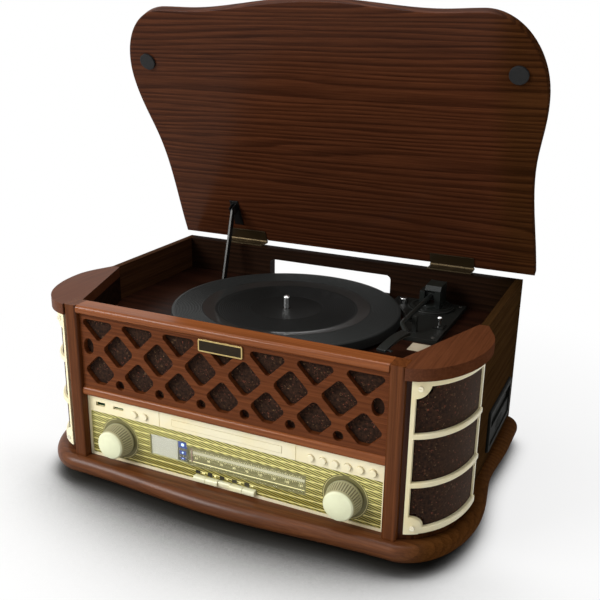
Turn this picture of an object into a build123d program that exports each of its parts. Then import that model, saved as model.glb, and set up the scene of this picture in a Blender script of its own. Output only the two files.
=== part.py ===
from build123d import *
import math
import os

# Wooden record-player cabinet with radio, disc tray and tape slot, in millimetres.
# Built with x across, y from the column faces to the back and z up from the floor.

# Cabinet
front_face_y = -160.3
half_width = 231.0
depth = 320.3
top_z = 210.0
side_wall = 8.2
rear_wall = 14.0
inner_wall = 6.0
corner_wall = 8.0
touch = 0.2
running = 0.05
sliding = 0.3
past = 1.0
far = 400.0

# Feet and base
foot_height = 12.0
foot_radius = 14.0
foot_taper = 1.5
foot_x = 192.0
foot_front_y = 34.0
foot_rear_y = 284.0
base_thickness = 19.5
base_nose = 9.2
base_half = 250.5
base_widest_y = 92.0
base_waist = 241.3
base_waist_y = 172.0
base_hip = 245.0
base_hip_y = 262.0
base_bow = 19.0
base_shoulder = 9.0
base_shoulder_x = 186.0
base_overhang_rear = 6.0
base_rear_corner = 22.0

# Front frame
column_inner_x = 174.0
column_width = 15.0
column_depth = 20.2
column_round = 3.0
rail_height = 9.0
top_rail_nose = 3.6
middle_rail_z = 106.0
middle_rail_height = 10.0
middle_rail_setback = 3.0
fascia_y = 9.8

# Turntable well
well_front_set = 5.8
well_wall_drop = 9.0
well_corner_y = 144.4
deck_top = 168.0
deck_thickness = 9.0
window_left = -99.5
window_right = 70.5
window_top = 195.5
window_round = 6.0
vent_count = 9
vent_first_x = -150.0
vent_pitch = 14.0
vent_width = 4.0
vent_bottom = 70.0
vent_top = 110.0

# Ears: the rounded speaker housings at both front corners
ear_centre_x = 181.6
ear_centre_y = 92.0
ear_reach = 64.2
ear_length = 94.0
ear_end_y = 140.0
ear_tail_lean = -0.35
ear_tail_ease = 0.03
ear_root = 20.0
ear_top_thickness = 12.0
ear_overhang = 8.0
ear_shell_thickness = 7.0
trim_front_x = 194.5
trim_rear_y = 91.5
trim_bottom = 39.3
trim_end_bar = 7.0
trim_bar = 5.6
trim_bar_heights = (91.1, 141.3)
trim_upright = 3.6
trim_thickness = 2.0
trim_crown = 1.6
trim_crown_round = 1.3
trim_crown_lap = 0.5
trim_boss = 11.5
cloth_thickness = 0.8
trim_screw_radius = 2.6
trim_screw_head = 1.6
trim_screw_neck = 0.6
trim_shank_radius = 1.5
trim_screw_length = 15.0
trim_slot_depth = 1.0
trim_slot_width = 0.6
trim_screw_x = 202.2
trim_screw_heights = (46.2, 189.4)

# Speaker drivers behind the ears
speaker_z = 96.0
speaker_face = 181.5
speaker_radius = 33.0
speaker_depth = 30.0
magnet_radius = 20.0
magnet_thickness = 11.0
baffle_thickness = 6.0
baffle_width = 80.0
baffle_height = 118.0
baffle_lip = 4.0
cone_drop = 14.0
cone_edge = 8.0
cone_edge_drop = 1.2
cone_cap_radius = 7.0
cone_cap_drop = 10.5
cone_cap_top = 9.5
surround_seat = 5.0
surround_inner = 6.0
surround_height = 2.0
surround_lap = 9.0
surround_lap_height = 0.2
basket_base_inset = 4.0
basket_mouth_inset = 6.0
basket_base_wall = 3.0
basket_mouth_wall = 2.0
basket_floor = 3.0

# Grille fretwork
grille_y = 5.6
grille_thickness = 6.0
grille_pitch = 50.2
grille_row_z = 164.0
grille_row_step = 27.0
grille_hole_half = 20.0
grille_hole_round = 5.0
grille_cut_round = 3.4
grille_top_cut = 195.0
grille_bottom_cut = 122.0
grille_spot_z = 125.6
grille_spot_radius = 5.4
grille_oval_x = 163.6
grille_oval_half = 9.2
grille_oval_width = 6.4

# Badge
badge_x = -1.0
badge_z = 191.2
badge_width = 50.0
badge_height = 13.0
badge_thickness = 1.6
badge_round = 1.5
badge_border = 1.5
badge_field_round = 0.8
badge_field_depth = 0.4

# Fascia
frame_thickness = 3.5
strip_bottom = 86.0
frame_lip = 3.0
panel_setback = 1.0
panel_thickness = 2.0
seam_x = 80.0
seam_width = 0.7
seam_depth = 0.8
display_left = -93.6
display_right = -47.5
display_bottom = 50.0
display_top = 74.3
scale_right = 89.5
scale_bottom = 49.8
scale_top = 69.3
window_join = 6.0
window_front = 0.3
window_back = 0.1

# Knobs
knob_from_side = 40.7
knob_z = 59.0
knob_length = 22.0
knob_base_radius = 18.8
knob_neck_radius = 15.8
knob_face_radius = 14.4
knob_base_bevel = 0.4
knob_base_rise = 0.8
knob_skirt = 3.4
knob_neck = 5.0
knob_lip = 3.6
knob_shoulder = 2.0
knob_dome = 0.7
knob_dome_share = 0.6
knob_crown_flat = 2.0
knob_flutes = 40
knob_flute_radius = 0.8
knob_flute_seat = 0.25
knob_flute_start = 0.3
knob_shaft_radius = 3.0
knob_shaft_gap = 1.4
knob_back_gap = 0.5

# Round push buttons
button_z = 93.2
button_radius = 3.7
button_gap = 0.25
button_proud = 2.4
button_travel = 1.0
button_round = 0.8
button_flange = 1.2
button_flange_rise = 1.3
button_stem = 15.0
button_stem_radius = 1.6
left_buttons = (-111.7, -98.5)
right_button_first = 96.0
right_button_pitch = 12.96
right_button_count = 6

# Function keys
key_count = 5
key_first_x = -37.6
key_pitch = 14.6
key_gap = 0.6
key_bottom = 34.9
key_height = 4.8
key_face_y = 5.8
key_round = 1.8
key_length = 20.0
key_stop_inset = 2.0
key_stop_thickness = 3.0
key_stop_rise = 4.5
key_switch_rise = 4.0
key_travel = 2.5
pressed_key = 3
pressed_depth = 1.8

# Sockets in the top strip
usb_x = -156.7
usb_z = 95.4
usb_width = 12.4
usb_height = 5.0
usb_depth = 14.0
usb_wall = 0.4
usb_tongue_half = 5.2
usb_tongue_low = 0.2
usb_tongue_high = 1.9
card_x = -133.0
card_z = 95.2
card_width = 13.4
card_height = 3.4
card_wall = 1.0
card_depth = 12.0
card_slot_half = 0.5

# Front circuit board
board_y = 34.0
board_thickness = 1.6
board_half = 165.0
board_top = 80.0
board_wing_top = 100.0
pot_half = 10.0
switch_half = 3.0
display_margin = 1.0
display_depth = 6.0
header_start = 6.0
header_width = 6.0

# Dial pointer
dial_card_y = 14.4
dial_card_thickness = 1.5
dial_card_low = 2.0
dial_card_high = 3.0
dial_rail_z = 79.0
dial_rail_y = 18.0
dial_rail_radius = 1.2
dial_rail_left = -48.0
dial_rail_right = 90.0
pointer_start = -43.0
pointer_width = 8.0
pointer_front_y = 13.2
needle_thickness = 0.7
needle_width = 1.2
carriage_half = 3.0

# Disc drawer
tray_half = 64.3
tray_bottom = 90.3
tray_top = 97.7
tray_plate_bottom = 91.2
tray_plate_top = 96.2
tray_length = 172.0
tray_gap = 0.4
disc_radius = 61.0
disc_recess = 2.4
disc_start = 8.0
tray_front_proud = 0.2
tray_front_back = 3.2
tray_plate_inset = 1.3
tray_slot_half = 17.0
loader_half = 74.0
loader_front_y = 37.0
loader_length = 166.0
loader_bottom = 82.0
loader_top = 107.0
loader_wall = 2.0
loader_side_gap = 1.0
loader_roof = 6.0
loader_rail_inset = 8.0
loader_rail_start = 3.0
loader_leg_inset = 7.0
loader_leg_end = 12.0
loader_leg_radius = 5.0
disc_motor_radius = 10.0
disc_motor_gap = 0.6
sled_half = 14.0
sled_start = 18.0
sled_end = 60.0

# Record platter and its drive
platter_x = -11.5
platter_y = 175.5
platter_radius = 133.0
platter_top = 183.0
platter_rim_bottom = 171.0
platter_skin = 3.0
platter_bevel = 1.5
platter_step_outer = 97.0
platter_step_inner = 83.0
platter_step_drop = 2.2
platter_ring_outer = 41.0
platter_ring_inner = 36.0
platter_ring_drop = 0.8
drum_radius = 90.0
drum_wall = 3.0
drum_rise = 0.6
hub_radius = 11.0
post_radius = 4.5
spindle_radius = 3.57
spindle_top = 195.5
spindle_tip = 0.4
spindle_seat = 0.6
bearing_flange_radius = 16.0
bearing_flange = 1.5
bearing_housing_radius = 8.0
bearing_housing_drop = 12.0
pulley_reach = 110.0
pulley_angle = 135.0
pulley_radius = 6.0
pulley_bottom = 172.0
pulley_height = 6.0
motor_radius = 14.0
motor_height = 24.0
motor_shaft_radius = 1.0
motor_boss_radius = 4.0
motor_plate_width = 44.0
motor_plate_depth = 18.0
motor_plate = 1.5
pulley_flange = 0.8
pulley_flange_rise = 1.2
belt_thickness = 0.8
belt_width = 4.0
belt_gap = 0.3

# Tonearm
arm_plinth_top = 173.0
arm_plinth_front = 169.0
arm_plinth_rear = 300.0
arm_plinth_left = 84.0
arm_plinth_right = 171.0
arm_plinth_gap = 5.0
arm_x = 134.0
arm_pivot_y = 275.0
arm_axis_z = 190.0
arm_tube_radius = 2.7
arm_bend_y = 160.0
arm_head_x = 145.5
arm_head_y = 139.0
arm_head_z = 187.6
arm_bend_radius = 12.0
pedestal_radius = 28.0
pedestal_height = 3.0
pedestal_round = 1.2
turret_disc_radius = 14.4
turret_disc = 3.0
turret_shaft_radius = 4.0
turret_socket_floor = 3.0
turret_socket_gap = 1.0
tower_left = 122.0
tower_right = 147.0
tower_front = 263.0
tower_rear = 291.0
tower_top = 203.0
tower_cheek_left = 128.0
tower_cheek_right = 140.0
tower_cheek_top = 196.0
tower_chamfer = 5.0
tower_chamfer_depth = 4.0
arm_pin_radius = 1.3
arm_pin_left = 1.5
arm_pin_right = 4.0
arm_pin_play = 0.5
arm_hub_gap = 0.6
arm_hub_half = 8.0
arm_hub_rise = 4.4
arm_tube_start = 6.0
arm_tube_end = 2.0
rest_y = 186.0
rest_half = 3.0
rest_post_side = 4.2
rest_post_half = 2.5
rest_post_rise = 2.0
rest_shelf_side = 1.0
rest_shelf = 2.4
head_length = 52.0
head_width = 10.5
head_thickness = 2.6
head_offset_angle = 10.5
head_drop = 4.2
head_rise = 2.4
head_crown = 0.6
head_crown_share = 0.45
head_under = 0.2
head_neck = 1.0
cartridge_inset = 1.5
cartridge_start = 7.0
cartridge_end = 25.0
cartridge_clear = 0.9
cartridge_rise = 0.2
finger_lap = 1.0
finger_reach = 5.0
finger_start = 3.0
finger_end = 6.0
finger_low = 1.6
finger_high = 0.4
stylus_z = 184.2
stylus_from_end = 9.0
stylus_tip = 0.25
stylus_root = 0.8
stylus_length = 1.0
cue_x = 161.5
cue_y = 212.0
cue_ball_z = 183.6
cue_ball_radius = 2.9
cue_stem_radius = 1.2
cue_axle_radius = 1.0
cue_axle_half = 3.6
cue_axle_drop = 0.2
cue_pad_half = 6.0
cue_pad_rise = 1.5
cue_slot_half = 1.6
cue_slot_length = 11.0
cue_slot_depth = 2.0
cue_axle_room = 0.4
speed_x = 99.0
speed_y = 276.0
speed_radius = 4.6
speed_height = 7.0
speed_round = 1.0
speed_mark_width = 1.0
speed_mark_length = 6.0
speed_mark_depth = 0.8
speed_shaft_radius = 2.0
speed_socket = 3.0
speed_shaft_gap = 0.4

# Lid
lid_open_angle = 65.24
lid_thickness = 15.0
lid_rise = 2.83
lid_rear_y = 326.3
lid_rear_half = 242.6
lid_waist_half = 241.0
lid_waist_s = 158.0
lid_wide_half = 251.3
lid_wide_s = 234.0
lid_corner_x = 186.0
lid_corner_s = 322.8
lid_dip_x = 150.0
lid_dip_s = 321.8
lid_front_s = 333.4
lid_top_round = 5.0
lid_bottom_round = 1.5
bumper_x = 222.0
bumper_s = 259.0
bumper_radius = 10.0
bumper_gap = 0.15
bumper_round = 0.8

# Lid hinges
pin_y = 327.7
pin_z = 212.2
pin_radius = 1.2
knuckle_radius = 2.4
leaf_thickness = 1.2
hinge_inner_x = 115.0
hinge_knuckles = 5
hinge_width = 55.0
leaf_depth = 17.0
hinge_room = 0.5
knuckle_gap = 0.15
knuckle_room = 0.3
pin_end = 0.5

# Lid stay
stay_x = -152.0
stay_s = 52.0
stay_drop = 7.0
stay_lean = 16.2
stay_thickness = 2.5
stay_width = 8.0
stay_length = 108.0
stay_pin_radius = 2.0
stay_stop_radius = 1.6
stay_slot_front = 262.5
stay_slot_rear = 282.0
stay_slot_side = 0.8
stay_stop_half = 4.0
stay_stop_from_end = 2.0
stay_plate_s = 24.0
stay_plate_end = 62.0
stay_plate_half = 6.0
stay_plate_thickness = 1.5
stay_cheek = 1.4
stay_cheek_half = 6.0
stay_cheek_drop = 4.5
stay_pin_end = 1.8

# Tape slot on the right-hand side
tape_y = 239.5
tape_z = 69.8
tape_bezel_length = 115.0
tape_bezel_height = 49.5
tape_bezel_proud = 3.0
tape_bezel_round = 4.0
tape_bezel_bevel = 1.2
tape_face_depth = 1.6
tape_face_border = 2.0
tape_grips = 5
tape_grip_first = 6.0
tape_grip_pitch = 2.4
tape_grip_height = 1.0
tape_grip_half = 16.0
tape_grip_back = 2.2
tape_mouth_length = 104.0
tape_mouth_height = 14.0
tape_mouth_z = 77.0
tape_depth = 70.0
tape_wall = 2.0
tape_roof = 4.0
tape_leg_radius = 4.0
tape_leg_side = 20.0
tape_leg_end = 8.0
flywheel_reach = 30.0
flywheel_radius = 22.0
flywheel_thickness = 8.0
flywheel_shaft_radius = 2.0
flywheel_shaft_end = 10.0
tape_motor_side = 22.0
tape_motor_height = 22.0
tape_motor_radius = 11.0
tape_hub_reach = 34.0
tape_hub_half = 21.2
tape_hub_height = 3.2
tape_hub_root = 0.5
tape_hub_radius = 3.4
flap_thickness = 1.8
flap_gap = 0.4
flap_inset = 2.0
flap_axis_drop = 1.6
flap_bead_radius = 1.3
flap_pin_radius = 1.0
flap_pin_length = 1.8
flap_socket = 2.0

# Rear sockets and power
jack_plate_x = 120.0
jack_plate_z = 85.0
jack_plate_width = 110.0
jack_plate_height = 46.0
jack_plate_thickness = 2.0
jack_plate_round = 3.0
jack_lip = 6.0
jack_tongue = 4.0
jack_row = 8.0
jack_pitch = 16.0
jack_first = 52.0
jack_radius = 4.1
jack_collar = 5.0
jack_bore = 3.3
jack_pin = 1.0
jack_proud = 6.0
aerial_from_edge = 16.0
aerial_radius = 1.8
inlet_start = 12.0
inlet_width = 22.0
inlet_height = 14.0
inlet_depth = 5.0
inlet_pin = 1.2
inlet_pin_pitch = 8.0
power_board_y = 262.0
power_board_length = 60.0
power_board_width = 150.0
power_board_z = 42.0
standoff_radius = 3.0
standoff_inset = 5.0
capacitor_radius = 5.0
capacitor_height = 16.0
capacitor_pitch = 16.0
capacitor_start = 18.0
capacitor_count = 4
heat_sink_length = 64.0
heat_sink_height = 28.0
heat_sink_back = 3.0
heat_sink_fin = 2.0
heat_sink_fin_depth = 10.0
heat_sink_fins = 5
heat_sink_from_front = 34.0
transformer_from_end = 30.0
core_width = 42.0
core_depth = 34.0
core_height = 34.0
coil_width = 28.0
coil_depth = 48.0
coil_height = 26.0
coil_round = 4.0

# Sizes that follow from the ones above
base_top = foot_height + base_thickness
column_outer_x = column_inner_x + column_width
frame_half = column_inner_x - sliding
well_front_half = column_inner_x + well_front_set
well_side_half = half_width - side_wall
knob_x = frame_half - knob_from_side
rear_inner_y = depth - rear_wall
ear_top_bottom = top_z - ear_top_thickness
trim_top = ear_top_bottom - touch
trim_inner_x = trim_front_x + trim_upright
trim_inner_y = trim_rear_y - trim_upright
trim_flat = ear_overhang - trim_thickness
trim_face = trim_flat - trim_crown
top_rail_z = top_z - rail_height
deck_bottom = deck_top - deck_thickness
middle_rail_top = middle_rail_z + middle_rail_height
grille_back = grille_y + grille_thickness
strip_back = fascia_y + frame_thickness
panel_y = fascia_y + panel_setback
panel_back = panel_y + panel_thickness
opening_bottom = base_top + frame_lip
lid_under = top_z + lid_rise
stay_pivot_y = lid_rear_y - stay_s
stay_pivot_z = lid_under - stay_drop
key_bank_end = key_first_x + key_count * key_pitch
place = Pos(0, front_face_y, 0)
hinge_line = Axis((0, pin_y, pin_z), (1, 0, 0))


def block(x0, x1, y0, y1, z0, z1):
    centre = Pos((x0 + x1) / 2, (y0 + y1) / 2, (z0 + z1) / 2)
    return centre * Box(x1 - x0, y1 - y0, z1 - z0)


def rod_x(y, z, x0, x1, radius):
    return Pos((x0 + x1) / 2, y, z) * Rot(0, 90, 0) * Cylinder(radius, x1 - x0)


def rod_y(x, z, y0, y1, radius):
    return Pos(x, (y0 + y1) / 2, z) * Rot(90, 0, 0) * Cylinder(radius, y1 - y0)


def rod_z(x, y, z0, z1, radius):
    return Pos(x, y, (z0 + z1) / 2) * Cylinder(radius, z1 - z0)


def mirrored(piece):
    return mirror(piece, about=Plane.YZ)


def front_slab(sketch, y0, y1):
    plane = Plane(origin=(0, y1, 0), x_dir=(1, 0, 0), z_dir=(0, -1, 0))
    return extrude(plane * sketch, amount=y1 - y0)


def lifted(face, z0, z1):
    return extrude(Pos(0, 0, z0) * face, amount=z1 - z0)


def opened(piece):
    return piece.rotate(hinge_line, -lid_open_angle)


def save(name, *pieces):
    solids = [solid for piece in pieces for solid in piece.solids()]
    export_step(Compound([place * solid for solid in solids]), f"parts/{name}.step")


# Base and feet

def base_outline():
    shoulder = (base_shoulder_x, -base_shoulder)
    widest = (base_half, base_widest_y)
    waist = (base_waist, base_waist_y)
    hip = (base_hip, base_hip_y)
    back = depth + base_overhang_rear
    bow = Spline(
        (-base_shoulder_x, -base_shoulder), (0, -base_bow), shoulder,
        tangents=[(1, 0), (1, 0)])
    corner = EllipticalCenterArc(
        (base_shoulder_x, base_widest_y), base_half - base_shoulder_x,
        base_widest_y + base_shoulder, start_angle=270, arc_size=90)
    side = Spline(widest, waist, hip, tangents=[(0, 1), (0, 1)])
    rear = Line(hip, (base_hip, back - base_rear_corner))
    turn = TangentArc(rear @ 1, (base_hip - base_rear_corner, back), tangent=(0, 1))
    right = [corner, side, rear, turn]
    left = [mirrored(edge) for edge in right]
    across = Line((-(base_hip - base_rear_corner), back), turn @ 1)
    return make_face([bow, *right, across, *left])


def make_base():
    board = lifted(base_outline(), foot_height, base_top)
    rims = board.faces().filter_by(Axis.Z).edges()
    return fillet(rims, base_nose)


def make_feet():
    feet = []
    for x in (-foot_x, foot_x):
        for y in (foot_front_y, foot_rear_y):
            foot = Pos(x, y, foot_height / 2) * Cone(
                foot_radius - foot_taper, foot_radius, foot_height)
            feet.append(foot - rod_z(x, y, 0, foot_height / 3, foot_radius / 3))
    return feet


# Ears

def ear_region(inset):
    reach = ear_reach - inset
    length = ear_length - inset
    end_x = half_width - max(0.0, inset - ear_overhang)
    lean = ear_tail_lean + ear_tail_ease * min(inset, ear_overhang)
    side = (ear_centre_x + reach, ear_centre_y)
    end = (end_x, ear_end_y)
    nose = EllipticalCenterArc(
        (ear_centre_x, ear_centre_y), reach, length, start_angle=270, arc_size=90)
    tail = Spline(side, end, tangents=[(0, 1), (lean, 1)])
    hidden_x = column_inner_x - ear_root
    closing = Polyline(end, (hidden_x, ear_end_y), (hidden_x, nose.position_at(0).Y), nose @ 0)
    return make_face([nose, tail, closing])


def ear_band(outer, inner, z0, z1):
    core = lifted(ear_region(inner), z0 - past, z1 + past)
    return lifted(ear_region(outer), z0, z1) - core


def well_face(grow=0.0):
    front = column_depth - grow
    slope = (well_side_half - well_front_half) / (well_corner_y - column_depth)
    lean = grow * math.sqrt(1 + slope * slope)
    x_front = well_front_half + lean - slope * grow
    corners = [
        (x_front, front),
        (well_side_half + grow, well_corner_y + (grow - lean) / slope),
        (well_side_half + grow, rear_inner_y),
    ]
    left = [(-x, y) for x, y in reversed(corners)]
    return make_face(Polyline(*corners, *left, close=True))


def make_ear_top():
    board = lifted(ear_region(0), ear_top_bottom, top_z)
    board -= block(0, column_outer_x, -far, column_depth, 0, far)
    board -= lifted(well_face(), 0, far)
    board -= block(0, well_front_half - past, -far, far, 0, far)
    return board


def trim_bars():
    bars = [(trim_bottom, trim_bottom + trim_end_bar)]
    for middle in trim_bar_heights:
        bars.append((middle - trim_bar / 2, middle + trim_bar / 2))
    return [*bars, (trim_top - trim_end_bar, trim_top)]


def trim_bosses(grow=0.0):
    heights = (trim_bottom + trim_end_bar, trim_top - trim_end_bar)
    return [rod_y(trim_inner_x, z, -far, far, trim_boss + grow) for z in heights]


def trim_clip():
    return block(trim_front_x, far, -far, trim_rear_y, 0, far)


def trim_raised(low, high):
    return ear_band(trim_face, trim_flat + trim_crown_lap, low, high) & trim_clip()


def trim_crossbar(low, high):
    bar = trim_raised(low, high)
    outside = bar.faces().sort_by(SortBy.AREA)[-1]
    rims = outside.edges().filter_by(Axis.Z, reverse=True)
    return fillet(rims, trim_crown_round)


def make_ear_trim():
    bars = trim_bars()
    frame = ear_band(trim_flat, ear_overhang, trim_bottom, trim_top) & trim_clip()
    for below, above in zip(bars, bars[1:]):
        room = block(trim_inner_x, far, -far, trim_inner_y, below[1], above[0])
        for boss in trim_bosses():
            room -= boss
        frame -= room
    raised = trim_raised(trim_bottom, trim_top)
    frame += raised & block(trim_front_x, trim_inner_x, -far, far, 0, far)
    for low, high in bars:
        frame += trim_crossbar(low, high)
    for boss in trim_bosses():
        frame += raised & boss
    face = trim_face_y(trim_screw_x, trim_face)
    for z in trim_screw_heights:
        frame -= rod_y(trim_screw_x, z, -far, far, trim_shank_radius + touch / 2)
        frame -= rod_y(trim_screw_x, z, -far, face, trim_screw_radius + touch / 2)
    return frame


def trim_face_y(x, inset):
    reach = ear_reach - inset
    length = ear_length - inset
    share = (x - ear_centre_x) / reach
    return ear_centre_y - length * math.sqrt(1 - share * share)


def make_ear_shell():
    shell = ear_band(ear_overhang, ear_overhang + ear_shell_thickness, base_top, ear_top_bottom)
    shell = shell & block(column_outer_x, far, -far, far, 0, far)
    shell -= shell_window(0)
    for z in trim_screw_heights:
        shell -= rod_y(trim_screw_x, z, -far, ear_centre_y, trim_shank_radius + touch / 2)
    return shell


def shell_window(shrink):
    low = trim_bottom + trim_end_bar / 2 + shrink
    high = trim_top - trim_end_bar / 2 - shrink
    window = block(trim_inner_x + shrink, far, -far, trim_inner_y - shrink, low, high)
    for boss in trim_bosses(shrink):
        window -= boss
    return window


def make_ear_cloth():
    cloth = ear_band(ear_overhang + touch, ear_overhang + touch + cloth_thickness, 0, far)
    return cloth & shell_window(touch)


def make_trim_screws():
    screws = []
    x = trim_screw_x
    face = trim_face_y(x, trim_face)
    crown = face - trim_screw_head
    for z in trim_screw_heights:
        head = rod_y(x, z, crown, face - touch / 2, trim_screw_radius)
        head -= block(
            x - trim_screw_radius - past, x + trim_screw_radius + past, crown - past,
            face - trim_slot_depth, z - trim_slot_width / 2, z + trim_slot_width / 2)
        shank = rod_y(x, z, face - trim_screw_neck, face + trim_screw_length, trim_shank_radius)
        screws += [head + shank, mirrored(head + shank)]
    return screws


# Speakers

def speaker_place():
    wall = (well_side_half - well_front_half, well_corner_y - column_depth)
    span = math.hypot(*wall)
    outward = (wall[1] / span, -wall[0] / span)
    along = (wall[0] / span, wall[1] / span)
    reach = ear_reach - ear_overhang - ear_shell_thickness
    length = ear_length - ear_overhang - ear_shell_thickness
    support = math.hypot(reach * outward[0], length * outward[1])
    touch_x = ear_centre_x + reach * reach * outward[0] / support
    touch_y = ear_centre_y + length * length * outward[1] / support
    back = touch_x * outward[0] + touch_y * outward[1] - speaker_face
    centre = (touch_x - back * outward[0], touch_y - back * outward[1], speaker_z)
    return Plane(origin=centre, x_dir=(along[0], along[1], 0), z_dir=(outward[0], outward[1], 0))


def make_speaker():
    face = speaker_place()
    board_mid = base_top + baffle_height / 2 - speaker_z
    board = Pos(0, board_mid, -baffle_thickness / 2) * Box(
        baffle_width, baffle_height, baffle_thickness)
    board -= Pos(0, 0, -baffle_thickness / 2) * Cylinder(
        speaker_radius - baffle_lip, baffle_thickness + 2 * past)
    rim = speaker_radius - cone_edge
    cone_sketch = make_face(Polyline(
        (0, -cone_drop), (rim, -cone_edge_drop), (speaker_radius - surround_seat, 0),
        (speaker_radius, 0), (speaker_radius, surround_height),
        (speaker_radius - surround_inner, surround_height),
        (speaker_radius - surround_lap, surround_lap_height), (cone_cap_radius, -cone_cap_drop),
        (0, -cone_cap_top), close=True))
    cone = revolve(Plane.XZ * cone_sketch, Axis.Z)
    basket_depth = speaker_depth - magnet_thickness - baffle_thickness
    basket_base = magnet_radius - basket_base_inset
    basket_mouth = speaker_radius - basket_mouth_inset
    hanging = (Align.CENTER, Align.CENTER, Align.MAX)
    basket = Pos(0, 0, -baffle_thickness - touch) * Cone(
        basket_base, basket_mouth, basket_depth, align=hanging)
    hollow = Pos(0, 0, past - baffle_thickness) * Cone(
        basket_base - basket_base_wall, basket_mouth - basket_mouth_wall,
        basket_depth - basket_floor, align=hanging)
    ring = Pos(0, 0, -baffle_thickness / 2 - touch) * Cylinder(
        speaker_radius - baffle_lip - touch, baffle_thickness)
    mouth = Pos(0, 0, -baffle_thickness - touch) * Cylinder(
        rim, 2 * baffle_thickness, align=(Align.CENTER, Align.CENTER, Align.MIN))
    basket = (basket + ring) - hollow - mouth
    magnet = Pos(0, 0, -speaker_depth + magnet_thickness / 2 - touch) * Cylinder(
        magnet_radius, magnet_thickness)
    return [face.location * piece for piece in (board, cone, basket, magnet)]


# Front frame and grille

def make_column():
    post = block(column_inner_x, column_outer_x, 0, column_depth, base_top, top_z)
    rims = post.edges().filter_by(Axis.Z).sort_by(Axis.Y)[:2]
    return fillet(rims, column_round)


def make_rail(setback, z0, height):
    rail = block(-column_inner_x, column_inner_x, setback, column_depth, z0, z0 + height)
    rims = rail.edges().filter_by(Axis.X).sort_by(Axis.Y)[:2]
    return fillet(rims, top_rail_nose)


def rounded_hole(points, radius=grille_hole_round):
    hole = make_face(Polyline(*points, close=True))
    return fillet(hole.vertices(), radius)


def diamond(x, z):
    half = grille_hole_half
    tip_top = min(z + half, grille_top_cut)
    tip_bottom = max(z - half, grille_bottom_cut)
    cut_top = z + half - tip_top
    cut_bottom = tip_bottom - (z - half)
    points = [(x - half, z)]
    if cut_top > 0:
        points += [(x - cut_top, tip_top), (x + cut_top, tip_top)]
    else:
        points += [(x, tip_top)]
    points += [(x + half, z)]
    if cut_bottom > 0:
        points += [(x + cut_bottom, tip_bottom), (x - cut_bottom, tip_bottom)]
    else:
        points += [(x, tip_bottom)]
    return points


def make_grille_board():
    board = block(
        -frame_half, frame_half, grille_y, grille_back, middle_rail_top, top_rail_z)
    half_span = int(frame_half / grille_pitch)
    holes = []
    for column in range(-half_span, half_span + 1):
        x = column * grille_pitch
        holes.append(rounded_hole(diamond(x, grille_row_z + grille_row_step), grille_cut_round))
        holes.append(rounded_hole(diamond(x, grille_row_z - grille_row_step)))
    for column in range(-half_span, half_span):
        x = (column + 0.5) * grille_pitch
        holes.append(rounded_hole(diamond(x, grille_row_z)))
        holes.append(Pos(x, grille_spot_z) * Circle(grille_spot_radius))
    for side in (-1, 1):
        holes.append(Pos(side * grille_oval_x, grille_row_z) * Ellipse(grille_oval_width, grille_oval_half))
    for hole in holes:
        board -= front_slab(hole, grille_y - past, grille_back + past)
    return board


def make_grille_cloth():
    return block(
        -frame_half, frame_half, grille_back + touch, grille_back + touch + cloth_thickness,
        middle_rail_top + touch, top_rail_z - touch)


def make_badge():
    face = grille_y - badge_thickness
    outline = Pos(badge_x, badge_z) * RectangleRounded(badge_width, badge_height, badge_round)
    inside = Pos(badge_x, badge_z) * RectangleRounded(
        badge_width - 2 * badge_border, badge_height - 2 * badge_border, badge_field_round)
    field = front_slab(inside, face - past, face + badge_field_depth)
    return front_slab(outline, face, grille_y) - field


# Walls

def make_side_panel():
    return block(half_width - side_wall, half_width, ear_end_y, depth, base_top, top_z)


def tape_hole():
    length = tape_bezel_length - 2 * tape_bezel_round
    height = tape_bezel_height - 2 * tape_bezel_round
    return block(
        half_width - side_wall - past, half_width + past,
        tape_y - length / 2, tape_y + length / 2, tape_z - height / 2, tape_z + height / 2)


def make_well_walls():
    low = deck_bottom - well_wall_drop
    front = block(
        -column_inner_x, column_inner_x, column_depth - inner_wall, column_depth, low, top_rail_z)
    slab = lifted(well_face(corner_wall), low, ear_top_bottom) - lifted(well_face(), 0, far)
    slab = slab & lifted(ear_region(ear_overhang + ear_shell_thickness + touch), 0, far)
    corner = slab & block(0, far, column_depth, ear_end_y - touch, 0, far)
    return [front, corner, mirrored(corner)]


def make_rear_panel():
    inner = half_width - side_wall
    panel = block(-inner, inner, rear_inner_y, depth, base_top, top_z)
    window = block(
        window_left, window_right, rear_inner_y - past, depth + past, deck_top, window_top)
    rims = window.edges().filter_by(Axis.Y).sort_by(Axis.Z)[2:]
    panel -= fillet(rims, window_round)
    panel -= block(
        jack_plate_x - jack_plate_width / 2 + jack_lip,
        jack_plate_x + jack_plate_width / 2 - jack_lip,
        rear_inner_y - past, depth + past,
        jack_plate_z - jack_plate_height / 2 + jack_lip,
        jack_plate_z + jack_plate_height / 2 - jack_lip)
    for slot in range(vent_count):
        x = vent_first_x + slot * vent_pitch
        panel -= block(x, x + vent_width, rear_inner_y - past, depth + past, vent_bottom, vent_top)
    return panel


def make_deck():
    board = lifted(well_face(), deck_bottom, deck_top)
    board -= block(-far, far, rear_inner_y, far, 0, far)
    board -= rod_z(platter_x, platter_y, 0, far, bearing_housing_radius + touch)
    board -= rod_z(*pulley_centre(), 0, far, motor_boss_radius + sliding)
    half = stay_thickness / 2 + stay_slot_side
    board -= block(stay_x - half, stay_x + half, stay_slot_front, stay_slot_rear, 0, far)
    board -= rod_z(
        arm_x, arm_pivot_y, deck_bottom + turret_socket_floor, far, turret_shaft_radius + running)
    return board


# Fascia

def button_places():
    rights = [right_button_first + i * right_button_pitch for i in range(right_button_count)]
    return [*left_buttons, *rights]


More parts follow.
